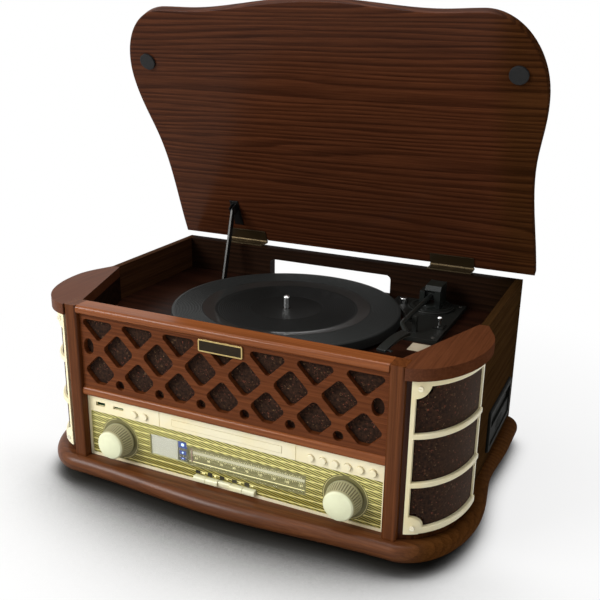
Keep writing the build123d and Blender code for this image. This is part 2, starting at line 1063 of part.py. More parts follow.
def make_fascia_frame():
    frame = block(-frame_half, frame_half, fascia_y, strip_back, base_top, middle_rail_z)
    lip = frame_half - frame_lip
    frame -= block(-lip, lip, fascia_y - past, strip_back + past, opening_bottom, strip_bottom)
    frame -= block(
        -tray_half - tray_gap, tray_half + tray_gap, fascia_y - past, strip_back + past,
        tray_bottom - tray_gap, tray_top + tray_gap)
    for x in button_places():
        frame -= rod_y(x, button_z, fascia_y - past, strip_back + past, button_radius + button_gap)
    frame -= block(
        usb_x - usb_width / 2, usb_x + usb_width / 2, fascia_y - past, strip_back + past,
        usb_z - usb_height / 2, usb_z + usb_height / 2)
    frame -= block(
        card_x - card_width / 2, card_x + card_width / 2, fascia_y - past, strip_back + past,
        card_z - card_height / 2, card_z + card_height / 2)
    for x in (-seam_x, seam_x):
        frame -= block(
            x - seam_width / 2, x + seam_width / 2, fascia_y - past, fascia_y + seam_depth,
            strip_bottom, middle_rail_z)
    return frame


def window_sketch(shrink):
    display = Pos((display_left + display_right) / 2, (display_bottom + display_top) / 2) * Rectangle(
        display_right - display_left - 2 * shrink, display_top - display_bottom - 2 * shrink)
    join = display_right - window_join
    scale = Pos((join + scale_right) / 2, (scale_bottom + scale_top) / 2) * Rectangle(
        scale_right - join - 2 * shrink, scale_top - scale_bottom - 2 * shrink)
    return display + scale


def make_dial_panel():
    half = frame_half - frame_lip - touch
    front = panel_y - past
    back = panel_back + past
    panel = block(
        -half, half, panel_y, panel_back, opening_bottom + touch, strip_bottom - touch)
    panel -= front_slab(window_sketch(0), front, back)
    panel -= block(
        key_first_x - key_gap, key_bank_end + key_gap, front, back,
        opening_bottom, key_bottom + key_height + key_gap)
    for x in (-knob_x, knob_x):
        panel -= rod_y(x, knob_z, front, back, knob_shaft_radius + sliding)
    low = scale_bottom - dial_card_low
    card = block(
        dial_rail_left - dial_card_thickness, dial_rail_right + dial_card_thickness, dial_card_y,
        dial_card_y + dial_card_thickness, low, scale_top + dial_card_high)
    rail = rod_x(dial_rail_y, dial_rail_z, dial_rail_left, dial_rail_right, dial_rail_radius)
    for x0 in (dial_rail_left - dial_card_thickness, dial_rail_right):
        card += block(
            x0, x0 + dial_card_thickness, dial_card_y, board_y, low, dial_rail_z + carriage_half)
    return [panel, card, rail]


def make_dial_window():
    return front_slab(window_sketch(touch), panel_y + window_front, panel_back - window_back)


def box_at(x, z, half_x, half_z, y0, y1):
    return block(x - half_x, x + half_x, y0, y1, z - half_z, z + half_z)


def make_data_socket():
    half_x = usb_width / 2
    half_z = usb_height / 2
    shell = box_at(usb_x, usb_z, half_x, half_z, strip_back, board_y)
    shell -= box_at(
        usb_x, usb_z, half_x - usb_wall, half_z - usb_wall, strip_back - past,
        strip_back + usb_depth)
    tongue = block(
        usb_x - usb_tongue_half, usb_x + usb_tongue_half, strip_back + past,
        strip_back + usb_depth + past, usb_z + usb_tongue_low, usb_z + usb_tongue_high)
    return shell + tongue


def make_card_reader():
    half_x = card_width / 2
    half_z = card_height / 2
    reader = box_at(card_x, card_z, half_x + card_wall, half_z + card_wall, strip_back, board_y)
    return reader - box_at(
        card_x, card_z, half_x, card_slot_half, strip_back - past, strip_back + card_depth)


def make_control_board():
    board = block(-board_half, board_half, board_y, board_y + board_thickness, base_top, board_top)
    for x0, x1 in ((-board_half, -seam_x), (seam_x, board_half)):
        board += block(x0, x1, board_y, board_y + board_thickness, board_top, board_wing_top)
    pieces = [board]
    pot_front = board_y - pot_half
    for x in (-knob_x, knob_x):
        pot = box_at(x, knob_z, pot_half, pot_half, pot_front, board_y)
        pieces.append(
            pot - rod_y(x, knob_z, pot_front - past, board_y - past, knob_shaft_radius + running))
    switch_front = strip_back + sliding + button_flange + button_stem + button_travel + touch
    for x in button_places():
        pieces.append(box_at(x, button_z, switch_half, switch_half, switch_front, board_y))
    pieces.append(block(
        key_first_x, key_bank_end, key_face_y + key_length + key_travel + touch, board_y,
        key_bottom, key_bottom + key_height + key_switch_rise))
    display_back = panel_back + display_depth
    pieces.append(block(
        display_left - display_margin, dial_rail_left - 2 * display_margin, panel_back + touch,
        display_back, display_bottom - display_margin, display_top + display_margin))
    header_left = display_left + header_start
    pieces.append(block(
        header_left, header_left + header_width, display_back, board_y, display_bottom,
        display_top))
    return [*pieces, make_data_socket(), make_card_reader()]


def make_button(x):
    cap = rod_y(x, button_z, fascia_y - button_proud, strip_back + sliding, button_radius)
    rim = cap.edges().filter_by(GeomType.CIRCLE).sort_by(Axis.Y)[0]
    cap = fillet(rim, button_round)
    flange = rod_y(
        x, button_z, strip_back + sliding, strip_back + sliding + button_flange,
        button_radius + button_flange_rise)
    stem_start = strip_back + sliding + button_flange
    stem = rod_y(x, button_z, stem_start, stem_start + button_stem, button_stem_radius)
    return cap + flange + stem


def make_key(number):
    x0 = key_first_x + (number - 1) * key_pitch + key_gap / 2
    x1 = x0 + key_pitch - key_gap
    top = key_bottom + key_height
    key = block(x0, x1, key_face_y, key_face_y + key_length, key_bottom, top)
    front = key.edges().filter_by(Axis.X).sort_by(Axis.Y)[:2]
    key = fillet(front.sort_by(Axis.Z)[-1], key_round)
    stop_y = panel_back + sliding
    key += block(
        x0 + key_stop_inset, x1 - key_stop_inset, stop_y, stop_y + key_stop_thickness,
        key_bottom, top + key_stop_rise)
    if number == pressed_key:
        key = Pos(0, pressed_depth, 0) * key
    return key


def knob_profile():
    base = knob_base_radius
    rim = base - knob_base_bevel
    neck_start = knob_length - knob_neck
    neck_end = knob_length - knob_lip
    shoulder = knob_length - knob_shoulder
    return make_face([
        Line((0, knob_back_gap), (rim, knob_back_gap)),
        Line((rim, knob_back_gap), (base, knob_back_gap + knob_base_rise)),
        Line((base, knob_back_gap + knob_base_rise), (base, knob_skirt)),
        Line((base, knob_skirt), (knob_neck_radius, neck_start)),
        Line((knob_neck_radius, neck_start), (knob_neck_radius, neck_end)),
        Line((knob_neck_radius, neck_end), (knob_face_radius, shoulder)),
        ThreePointArc(
            (knob_face_radius, shoulder),
            (knob_face_radius * knob_dome_share, knob_length - knob_dome),
            (knob_crown_flat, knob_length)),
        Line((knob_crown_flat, knob_length), (0, knob_length)),
        Line((0, knob_length), (0, knob_back_gap)),
    ])


def make_knob(x):
    knob = revolve(Plane.XZ * knob_profile(), Axis.Z)
    fluted = knob_length - knob_neck - knob_skirt
    slope = math.degrees(math.atan2(knob_base_radius - knob_neck_radius, fluted))
    seat = (knob_base_radius + knob_neck_radius) / 2 + knob_flute_seat
    tool = Pos(seat, 0, knob_skirt + fluted / 2) * Rot(0, -slope, 0)
    flute = tool * Cylinder(knob_flute_radius, fluted - knob_shoulder)
    step = 360 / knob_flutes
    knob -= [Rot(0, 0, (i + knob_flute_start) * step) * flute for i in range(knob_flutes)]
    shaft_back = board_y - knob_shaft_gap - panel_y
    embed = knob_back_gap + past
    knob += Pos(0, 0, (embed - shaft_back) / 2) * Cylinder(knob_shaft_radius, embed + shaft_back)
    return Pos(x, panel_y, knob_z) * Rot(90, 0, 0) * knob


def make_pointer():
    low = dial_rail_z - carriage_half
    carriage = block(
        pointer_start - pointer_width / 2, pointer_start + pointer_width / 2, pointer_front_y,
        dial_rail_y + carriage_half, low, dial_rail_z + carriage_half)
    carriage -= rod_x(
        dial_rail_y, dial_rail_z, pointer_start - pointer_width, pointer_start + pointer_width,
        dial_rail_radius + running)
    needle = block(
        pointer_start - needle_width / 2, pointer_start + needle_width / 2, pointer_front_y,
        pointer_front_y + needle_thickness, scale_bottom + dial_card_low, low)
    return carriage + needle


# Disc drawer

def make_tray():
    plate_start = fascia_y + tray_front_back
    front = block(
        -tray_half, tray_half, fascia_y - tray_front_proud, plate_start, tray_bottom, tray_top)
    plate_half = tray_half - tray_plate_inset
    plate = block(
        -plate_half, plate_half, plate_start, plate_start + tray_length,
        tray_plate_bottom, tray_plate_top)
    centre_y = disc_centre_y()
    plate -= rod_z(0, centre_y, tray_plate_top - disc_recess, tray_plate_top + past, disc_radius)
    plate -= block(
        -tray_slot_half, tray_slot_half, centre_y - tray_slot_half,
        plate_start + tray_length + past, 0, far)
    return front + plate


def disc_centre_y():
    return fascia_y + tray_front_back + disc_start + disc_radius


def make_loader():
    y0 = loader_front_y
    y1 = y0 + loader_length
    floor = loader_bottom + loader_wall
    room_half = tray_half + loader_side_gap
    case = block(-loader_half, loader_half, y0, y1, loader_bottom, loader_top)
    case -= block(
        -room_half, room_half, y0 - past, y1 - loader_wall, floor, loader_top - loader_roof)
    rail = block(
        tray_half - loader_rail_inset, room_half, y0 + loader_rail_start, y1 - loader_wall,
        floor - past, tray_plate_bottom - sliding)
    case += rail
    case += mirrored(rail)
    leg_x = loader_half - loader_leg_inset
    for x in (-leg_x, leg_x):
        for y in (y0 + loader_leg_end, y1 - loader_leg_end):
            case += rod_z(x, y, base_top, loader_bottom + past, loader_leg_radius)
    motor_y = disc_centre_y()
    motor = rod_z(0, motor_y, floor, tray_plate_bottom - disc_motor_gap, disc_motor_radius)
    sled = block(
        -sled_half, sled_half, motor_y + sled_start, motor_y + sled_end, floor,
        tray_plate_bottom - past)
    return [case, motor, sled]


# Platter and drive

def pulley_centre():
    angle = math.radians(pulley_angle)
    return (
        platter_x + pulley_reach * math.cos(angle),
        platter_y + pulley_reach * math.sin(angle))


def make_platter():
    top = platter_top
    under = top - platter_skin
    low = top - platter_step_drop
    lowest = low - platter_ring_drop
    bore = post_radius + running
    drum_low = platter_rim_bottom + drum_rise
    drum_inner = drum_radius - drum_wall
    hub_low = deck_top + bearing_flange + sliding
    rim_inner = platter_radius - platter_skin
    outline = make_face(Polyline(
        (bore, lowest), (platter_ring_inner, lowest), (platter_ring_outer, low),
        (platter_step_inner, low), (platter_step_outer, top),
        (platter_radius - platter_bevel, top), (platter_radius, top - platter_bevel),
        (platter_radius, platter_rim_bottom), (rim_inner, platter_rim_bottom),
        (rim_inner, under), (drum_radius, under), (drum_radius, drum_low), (drum_inner, drum_low),
        (drum_inner, under - platter_step_drop), (hub_radius, lowest - platter_skin + drum_rise),
        (hub_radius, hub_low), (bore, hub_low), close=True))
    disc = revolve(Plane.XZ * outline, Axis.Z)
    return Pos(platter_x, platter_y, 0) * disc


def make_spindle():
    x = platter_x
    y = platter_y
    shoulder = platter_top - platter_step_drop - platter_ring_drop - spindle_seat
    flange = rod_z(x, y, deck_top, deck_top + bearing_flange, bearing_flange_radius)
    post = rod_z(x, y, deck_top, shoulder, post_radius)
    tip = rod_z(x, y, shoulder - past, spindle_top, spindle_radius)
    rim = tip.edges().filter_by(GeomType.CIRCLE).sort_by(Axis.Z)[-1]
    tip = fillet(rim, spindle_radius - spindle_tip)
    housing = rod_z(
        x, y, deck_bottom - bearing_housing_drop, deck_top + bearing_flange / 3,
        bearing_housing_radius)
    return flange + post + tip + housing


def make_motor():
    x, y = pulley_centre()
    can = rod_z(x, y, deck_bottom - motor_height, deck_bottom - motor_plate, motor_radius)
    boss = rod_z(x, y, deck_bottom - motor_plate, deck_bottom + motor_plate, motor_boss_radius)
    plate = block(
        x - motor_plate_width / 2, x + motor_plate_width / 2, y - motor_plate_depth / 2,
        y + motor_plate_depth / 2, deck_bottom - motor_plate, deck_bottom)
    shaft_top = pulley_bottom + pulley_height + motor_shaft_radius
    shaft = rod_z(x, y, deck_bottom, shaft_top, motor_shaft_radius)
    return can + boss + plate + shaft


def make_pulley():
    x, y = pulley_centre()
    low = pulley_bottom
    high = pulley_bottom + pulley_height
    wheel = rod_z(x, y, low, high, pulley_radius)
    wheel += rod_z(x, y, low, low + pulley_flange, pulley_radius + pulley_flange_rise)
    wheel += rod_z(x, y, high - pulley_flange, high, pulley_radius + pulley_flange_rise)
    return wheel - rod_z(x, y, low - past, high + past, motor_shaft_radius + running)


def belt_loop(grow):
    x, y = pulley_centre()
    big = drum_radius + grow
    small = pulley_radius + grow
    angle = math.atan2(y - platter_y, x - platter_x)
    spread = math.acos((big - small) / pulley_reach)
    points = []
    for cx, cy, radius in ((platter_x, platter_y, big), (x, y, small)):
        for turn in (angle + spread, angle - spread):
            points.append((cx + radius * math.cos(turn), cy + radius * math.sin(turn)))
    a, b, c, d = points
    far = (platter_x - big * math.cos(angle), platter_y - big * math.sin(angle))
    near = (x + small * math.cos(angle), y + small * math.sin(angle))
    return make_face([Line(c, a), ThreePointArc(a, far, b), Line(b, d), ThreePointArc(d, near, c)])


def make_belt():
    middle = pulley_bottom + pulley_height / 2
    low = middle - belt_width / 2
    high = middle + belt_width / 2
    outer = lifted(belt_loop(belt_gap + belt_thickness), low, high)
    return outer - lifted(belt_loop(belt_gap), low - past, high + past)


# Tonearm

def make_arm_rest():
    shelf_top = arm_axis_z - arm_tube_radius - sliding
    post_x = arm_x + arm_tube_radius + rest_post_side
    front = rest_y - rest_half
    back = rest_y + rest_half
    post = block(
        post_x - rest_post_half, post_x + rest_post_half, front, back,
        arm_plinth_top - past, arm_axis_z + rest_post_rise)
    shelf = block(
        arm_x - arm_tube_radius - rest_shelf_side, post_x + rest_post_half, front, back,
        shelf_top - rest_shelf, shelf_top)
    return post + shelf


def make_arm_plinth():
    top = arm_plinth_top
    plate = block(
        arm_plinth_left, arm_plinth_right, arm_plinth_front, arm_plinth_rear, deck_top, top)
    plate -= rod_z(platter_x, platter_y, 0, far, platter_radius + arm_plinth_gap)
    pedestal = rod_z(arm_x, arm_pivot_y, top - past, top + pedestal_height, pedestal_radius)
    rim = pedestal.edges().filter_by(GeomType.CIRCLE).sort_by(Axis.Z)[-1]
    plate += fillet(rim, pedestal_round)
    plate -= rod_z(arm_x, arm_pivot_y, 0, far, turret_shaft_radius + running)
    plate += make_arm_rest()
    plate += block(
        cue_x - cue_pad_half, cue_x + cue_pad_half, cue_y - cue_pad_half - past,
        cue_y + cue_pad_half + past, top - past, top + cue_pad_rise)
    plate -= block(
        cue_x - cue_slot_half, cue_x + cue_slot_half, cue_y - cue_slot_length / 2,
        cue_y + cue_slot_length / 2, top - cue_slot_depth, far)
    axle_room = cue_axle_half + cue_axle_room
    plate -= rod_x(
        cue_y, top - cue_axle_drop, cue_x - axle_room, cue_x + axle_room,
        cue_axle_radius + running)
    return plate - rod_z(speed_x, speed_y, top - speed_socket, far, speed_shaft_radius + running)


def make_turret():
    floor = arm_plinth_top + pedestal_height + sliding
    disc = rod_z(arm_x, arm_pivot_y, floor, floor + turret_disc, turret_disc_radius)
    tower = block(tower_left, tower_right, tower_front, tower_rear, floor, tower_top)
    tower -= block(tower_left - past, tower_cheek_left, 0, far, tower_cheek_top, far)
    tower -= block(
        tower_cheek_left, tower_cheek_right, 0, far, floor + turret_disc, tower_cheek_top + past)
    ridge = tower.edges().filter_by(Axis.X).sort_by(Axis.Z)[-2:].sort_by(Axis.Y)[0]
    tower = chamfer(ridge, tower_chamfer, tower_chamfer_depth)
    shaft_low = deck_bottom + turret_socket_floor + turret_socket_gap
    shaft = rod_z(arm_x, arm_pivot_y, shaft_low, floor + past, turret_shaft_radius)
    return disc + tower + shaft - rod_x(
        arm_pivot_y, arm_axis_z, tower_left + arm_pin_left, tower_right - arm_pin_right,
        arm_pin_radius + running)


def make_tonearm():
    hub = block(
        tower_cheek_left + arm_hub_gap, tower_cheek_right - arm_hub_gap,
        arm_pivot_y - arm_hub_half, arm_pivot_y + arm_hub_half,
        arm_axis_z - arm_hub_rise, arm_axis_z + arm_hub_rise)
    pin = rod_x(
        arm_pivot_y, arm_axis_z, tower_left + arm_pin_left + arm_pin_play,
        tower_right - arm_pin_right - arm_pin_play, arm_pin_radius)
    path = FilletPolyline(
        (arm_x, arm_pivot_y - arm_tube_start, arm_axis_z), (arm_x, arm_bend_y, arm_axis_z),
        (arm_head_x, arm_head_y + arm_tube_end, arm_head_z), radius=arm_bend_radius)
    plane = Plane(origin=path @ 0, z_dir=path % 0)
    tube = sweep(plane * Circle(arm_tube_radius), path=path)
    return hub + pin + tube


def make_headshell():
    end = -head_length
    half = head_width / 2
    middle = end * head_crown_share
    end_top = head_rise - head_drop
    end_under = end_top - head_thickness
    top = ThreePointArc((0, head_rise), (middle, head_rise + head_crown), (end, end_top))
    under = ThreePointArc(
        (end, end_under), (middle, head_rise + head_under - head_thickness),
        (0, head_rise - head_thickness - head_neck))
    outline = make_face([
        top, Line(top @ 1, under @ 0), under, Line(under @ 1, top @ 0)])
    plane = Plane(origin=(half, 0, 0), x_dir=(0, 1, 0), z_dir=(1, 0, 0))
    band = extrude(plane * outline, amount=-head_width)
    level = stylus_z - arm_head_z
    cartridge = block(
        cartridge_inset - half, half - cartridge_inset, end + cartridge_start,
        end + cartridge_end, level + cartridge_clear, end_top + cartridge_rise)
    lift = block(
        half - finger_lap, half + finger_reach, end + finger_start, end + finger_end,
        end_top - finger_low, end_top - finger_high)
    stylus = Pos(0, end + stylus_from_end, level + stylus_length / 2) * Cone(
        stylus_tip, stylus_root, stylus_length)
    turn = Pos(arm_head_x, arm_head_y, arm_head_z) * Rot(0, 0, -head_offset_angle)
    return turn * (band + cartridge + lift + stylus)


def make_cue_lever():
    axle_z = arm_plinth_top - cue_axle_drop
    stem = rod_z(cue_x, cue_y, axle_z, cue_ball_z, cue_stem_radius)
    ball = Pos(cue_x, cue_y, cue_ball_z) * Sphere(cue_ball_radius)
    axle = rod_x(
        cue_y, axle_z, cue_x - cue_axle_half, cue_x + cue_axle_half, cue_axle_radius)
    return stem + ball + axle


def make_speed_knob():
    low = arm_plinth_top + sliding
    high = low + speed_height
    body = rod_z(speed_x, speed_y, low, high, speed_radius)
    rim = body.edges().filter_by(GeomType.CIRCLE).sort_by(Axis.Z)[-1]
    body = fillet(rim, speed_round)
    body -= block(
        speed_x - speed_mark_width / 2, speed_x + speed_mark_width / 2, speed_y,
        speed_y + speed_mark_length, high - speed_mark_depth, far)
    shaft_low = arm_plinth_top - speed_socket + speed_shaft_gap
    return body + rod_z(speed_x, speed_y, shaft_low, low + past, speed_shaft_radius)


# Lid, hinges and stay

def lid_outline():
    rear = lid_rear_y
    side = Spline(
        (lid_rear_half, rear), (lid_waist_half, rear - lid_waist_s),
        (lid_wide_half, rear - lid_wide_s), tangents=[(-0.01, -1), (0, -1)])
    corner = EllipticalCenterArc(
        (lid_corner_x, rear - lid_wide_s), lid_wide_half - lid_corner_x,
        lid_corner_s - lid_wide_s, start_angle=270, arc_size=90)
    bow = Spline(
        (lid_corner_x, rear - lid_corner_s), (lid_dip_x, rear - lid_dip_s),
        (0, rear - lid_front_s), tangents=[(-1, 0), (-1, 0)])
    right = [side, corner, bow]
    left = [mirrored(edge) for edge in right]
    back = Line((-lid_rear_half, rear), (lid_rear_half, rear))
    return make_face([back, *right, *left])


def hinge_starts():
    return (hinge_inner_x, -hinge_inner_x - hinge_width)


def make_lid():
    board = lifted(lid_outline(), lid_under, lid_under + lid_thickness)
    flats = board.faces().filter_by(Axis.Z).sort_by(Axis.Z)
    board = fillet(flats[-1].edges(), lid_top_round)
    flats = board.faces().filter_by(Axis.Z).sort_by(Axis.Z)
    board = fillet(flats[0].edges(), lid_bottom_round)
    for x in hinge_starts():
        board -= rod_x(
            pin_y, pin_z, x - past, x + hinge_width + past, knuckle_radius + hinge_room)
    return opened(board)


def make_bumpers():
    pads = []
    for x in (-bumper_x, bumper_x):
        pad = rod_z(x, lid_rear_y - bumper_s, top_z + bumper_gap, lid_under, bumper_radius)
        rim = pad.edges().filter_by(GeomType.CIRCLE).sort_by(Axis.Z)[0]
        pads.append(opened(fillet(rim, bumper_round)))
    return pads


def knuckle_spans(x, own):
    step = hinge_width / hinge_knuckles
    spans = []
    for i in range(hinge_knuckles):
        if (i % 2 == 0) == own:
            spans.append((x + i * step + knuckle_gap, x + (i + 1) * step - knuckle_gap))
    return spans


def make_leaf(x, fixed):
    low = top_z if fixed else lid_under - leaf_thickness
    leaf = block(x, x + hinge_width, pin_y - leaf_depth, pin_y, low, low + leaf_thickness)
    for x0, x1 in knuckle_spans(x, not fixed):
        leaf -= rod_x(
            pin_y, pin_z, x0 - hinge_room, x1 + hinge_room, knuckle_radius + knuckle_room)
    for x0, x1 in knuckle_spans(x, fixed):
        leaf += rod_x(pin_y, pin_z, x0, x1, knuckle_radius)
    bore = pin_radius + (touch / 10 if fixed else running)
    return leaf - rod_x(pin_y, pin_z, x - past, x + hinge_width + past, bore)


def make_fixed_leaves():
    pieces = []
    for x in hinge_starts():
        pieces.append(make_leaf(x, True))
        pieces.append(rod_x(pin_y, pin_z, x - pin_end, x + hinge_width + pin_end, pin_radius))
    return pieces


def make_lid_leaves():
    return [opened(make_leaf(x, False)) for x in hinge_starts()]


def make_stay_bracket():
    gap = stay_thickness / 2 + sliding
    plate = block(
        stay_x - stay_plate_half, stay_x + stay_plate_half, lid_rear_y - stay_plate_end,
        lid_rear_y - stay_plate_s, lid_under - stay_plate_thickness, lid_under)
    for x0 in (stay_x + gap, stay_x - gap - stay_cheek):
        plate += block(
            x0, x0 + stay_cheek, stay_pivot_y - stay_cheek_half, stay_pivot_y + stay_cheek_half,
            stay_pivot_z - stay_cheek_drop, lid_under - past)
    pin_half = gap + stay_pin_end
    plate += rod_x(
        stay_pivot_y, stay_pivot_z, stay_x - pin_half, stay_x + pin_half, stay_pin_radius)
    return opened(plate)


def make_stay_bar():
    lean_back = lid_open_angle - stay_lean
    y = stay_pivot_y
    top = stay_pivot_z
    left = stay_x - stay_thickness / 2
    right = stay_x + stay_thickness / 2
    bar = block(
        left, right, y - stay_width / 2, y + stay_width / 2, top - stay_length, top)
    bar += rod_x(y, top, left, right, stay_width / 2)
    bar -= rod_x(y, top, left - past, right + past, stay_pin_radius + running)
    bar += rod_x(
        y, top - stay_length + stay_stop_from_end, stay_x - stay_stop_half,
        stay_x + stay_stop_half, stay_stop_radius)
    pivot = Axis((0, y, top), (1, 0, 0))
    return opened(bar.rotate(pivot, lean_back))


# Tape slot

def tape_mouth():
    return (
        tape_y - tape_mouth_length / 2, tape_y + tape_mouth_length / 2,
        tape_mouth_z - tape_mouth_height / 2, tape_mouth_z + tape_mouth_height / 2)


def tape_plate(x0, x1, shrink):
    length = tape_bezel_length / 2 - shrink
    height = tape_bezel_height / 2 - shrink
    return block(x0, x1, tape_y - length, tape_y + length, tape_z - height, tape_z + height)


def make_tape_bezel():
    face = half_width + tape_bezel_proud
    plate = tape_plate(half_width, face, 0)
    plate = fillet(plate.edges().filter_by(Axis.X), tape_bezel_round)
    plate = chamfer(plate.faces().sort_by(Axis.X)[-1].edges(), tape_bezel_bevel)
    inset = tape_bezel_round + touch
    plate += tape_plate(half_width - side_wall, half_width + past, inset)
    plate -= tape_plate(face - tape_face_depth, face + past, inset + tape_face_border)
    y0, y1, z0, z1 = tape_mouth()
    plate -= block(half_width - side_wall - past, face + past, y0, y1, z0, z1)
    plate -= rod_y(
        flap_x(), flap_axis_z(), y0 - flap_socket, y1 + flap_socket, flap_pin_radius + running)
    for grip in range(tape_grips):
        z = z0 - tape_grip_first - grip * tape_grip_pitch
        plate -= block(
            face - tape_grip_back, face - past, tape_y - tape_grip_half, tape_y + tape_grip_half,
            z, z + tape_grip_height)
    return plate


def flap_x():
    return half_width - flap_inset


def flap_axis_z():
    return tape_mouth_z + tape_mouth_height / 2 - flap_axis_drop


def make_tape_flap():
    x = flap_x()
    axis_z = flap_axis_z()
    mouth_y0, mouth_y1, mouth_z0, _ = tape_mouth()
    y0 = mouth_y0 + flap_gap
    y1 = mouth_y1 - flap_gap
    half = flap_thickness / 2
    flap = block(x - half, x + half, y0, y1, mouth_z0 + flap_gap, axis_z)
    flap += rod_y(x, axis_z, y0, y1, flap_bead_radius)
    flap += rod_y(x, axis_z, y0 - flap_pin_length, y1 + flap_pin_length, flap_pin_radius)
    return flap


def make_tape_mechanism():
    x1 = half_width - side_wall - touch
    x0 = x1 - tape_depth
    y0, y1, z0, z1 = tape_mouth()
    under = z0 - tape_wall
    well = block(
        x0 - tape_wall, x1, y0 - tape_wall, y1 + tape_wall, under, z1 + tape_roof + tape_wall)
    well -= block(x0, x1 + past, y0, y1, z0, z1 + tape_roof)
    for y in (y0 + tape_leg_side, y1 - tape_leg_side):
        for x in (x0 + tape_leg_end, x1 - tape_leg_end):
            well += rod_z(x, y, base_top, z0 - past, tape_leg_radius)
    wheel_x = x0 + flywheel_reach
    flywheel = rod_z(wheel_x, tape_y, under - flywheel_thickness, under - touch, flywheel_radius)
    well += rod_z(wheel_x, tape_y, under - flywheel_shaft_end, z0, flywheel_shaft_radius)
    flywheel -= rod_z(wheel_x, tape_y, 0, far, flywheel_shaft_radius + running)
    motor_top = under - touch
    motor = rod_z(
        wheel_x, y1 - tape_motor_side, motor_top - tape_motor_height, motor_top,
        tape_motor_radius)
    for y in (tape_y - tape_hub_half, tape_y + tape_hub_half):
        well += rod_z(
            x0 + tape_hub_reach, y, z0 - tape_hub_root, z0 + tape_hub_height, tape_hub_radius)
    return [well, flywheel, motor]


# Rear plate and power

def make_jack_plate():
    x0 = jack_plate_x - jack_plate_width / 2
    x1 = jack_plate_x + jack_plate_width / 2
    z0 = jack_plate_z - jack_plate_height / 2
    z1 = jack_plate_z + jack_plate_height / 2
    back = depth + jack_plate_thickness
    seat = jack_lip + touch
    plate = block(x0, x1, depth, back, z0, z1)
    plate = fillet(plate.edges().filter_by(Axis.Y), jack_plate_round)
    plate += block(x0 + seat, x1 - seat, depth - jack_tongue, back, z0 + seat, z1 - seat)
    inlet_x = x0 + inlet_start + inlet_width / 2
    inlet = block(
        inlet_x - inlet_width / 2, inlet_x + inlet_width / 2, back - inlet_depth, back + past,
        jack_plate_z - inlet_height / 2, jack_plate_z + inlet_height / 2)
    plate -= fillet(inlet.edges().filter_by(Axis.Y), jack_plate_round)
    for side in (-1, 1):
        x = inlet_x + side * inlet_pin_pitch / 2
        plate += rod_y(x, jack_plate_z, depth - jack_tongue, back - inlet_pin, inlet_pin)
    for z in (jack_plate_z - jack_row, jack_plate_z + jack_row):
        for x in (x0 + jack_first, x0 + jack_first + jack_pitch):
            plate += rod_y(x, z, depth, back + jack_pin, jack_collar)
            plate += rod_y(x, z, depth, back + jack_proud, jack_radius)
            plate -= rod_y(x, z, back - jack_pin, back + jack_proud + past, jack_bore)
            plate += rod_y(x, z, depth, back + jack_proud - 2 * jack_pin, jack_pin)
        plate -= rod_y(
            x1 - aerial_from_edge, z, back - jack_tongue, back + past, aerial_radius)
    return plate


def make_power_board():
    x0 = -power_board_width / 2
    x1 = power_board_width / 2
    y0 = power_board_y - power_board_length / 2
    y1 = power_board_y + power_board_length / 2
    top = power_board_z + board_thickness
    board = block(x0, x1, y0, y1, power_board_z, top)
    for x in (x0 + standoff_inset, x1 - standoff_inset):
        for y in (y0 + standoff_inset, y1 - standoff_inset):
            board += rod_z(x, y, base_top, top, standoff_radius)
    pieces = [board]
    for i in range(capacitor_count):
        x = x0 + capacitor_start + i * capacitor_pitch
        pieces.append(rod_z(x, y0 + capacitor_start, top, top + capacitor_height, capacitor_radius))
    sink_x = x0 + capacitor_start / 2
    sink_y = y0 + heat_sink_from_front
    sink = block(
        sink_x, sink_x + heat_sink_length, sink_y, sink_y + heat_sink_back,
        top, top + heat_sink_height)
    fin_pitch = (heat_sink_length - heat_sink_fin) / (heat_sink_fins - 1)
    for i in range(heat_sink_fins):
        x = sink_x + i * fin_pitch
        sink += block(
            x, x + heat_sink_fin, sink_y, sink_y + heat_sink_back + heat_sink_fin_depth,
            top, top + heat_sink_height)
    return [*pieces, sink]


def make_transformer():
    x = power_board_width / 2 - transformer_from_end
    y = power_board_y
    low = power_board_z + board_thickness
    core = block(
        x - core_width / 2, x + core_width / 2, y - core_depth / 2, y + core_depth / 2,
        low, low + core_height)
    middle = low + core_height / 2
    coil = block(
        x - coil_width / 2, x + coil_width / 2, y - coil_depth / 2, y + coil_depth / 2,
        middle - coil_height / 2, middle + coil_height / 2)
    return core + fillet(coil.edges().filter_by(Axis.Z), coil_round)


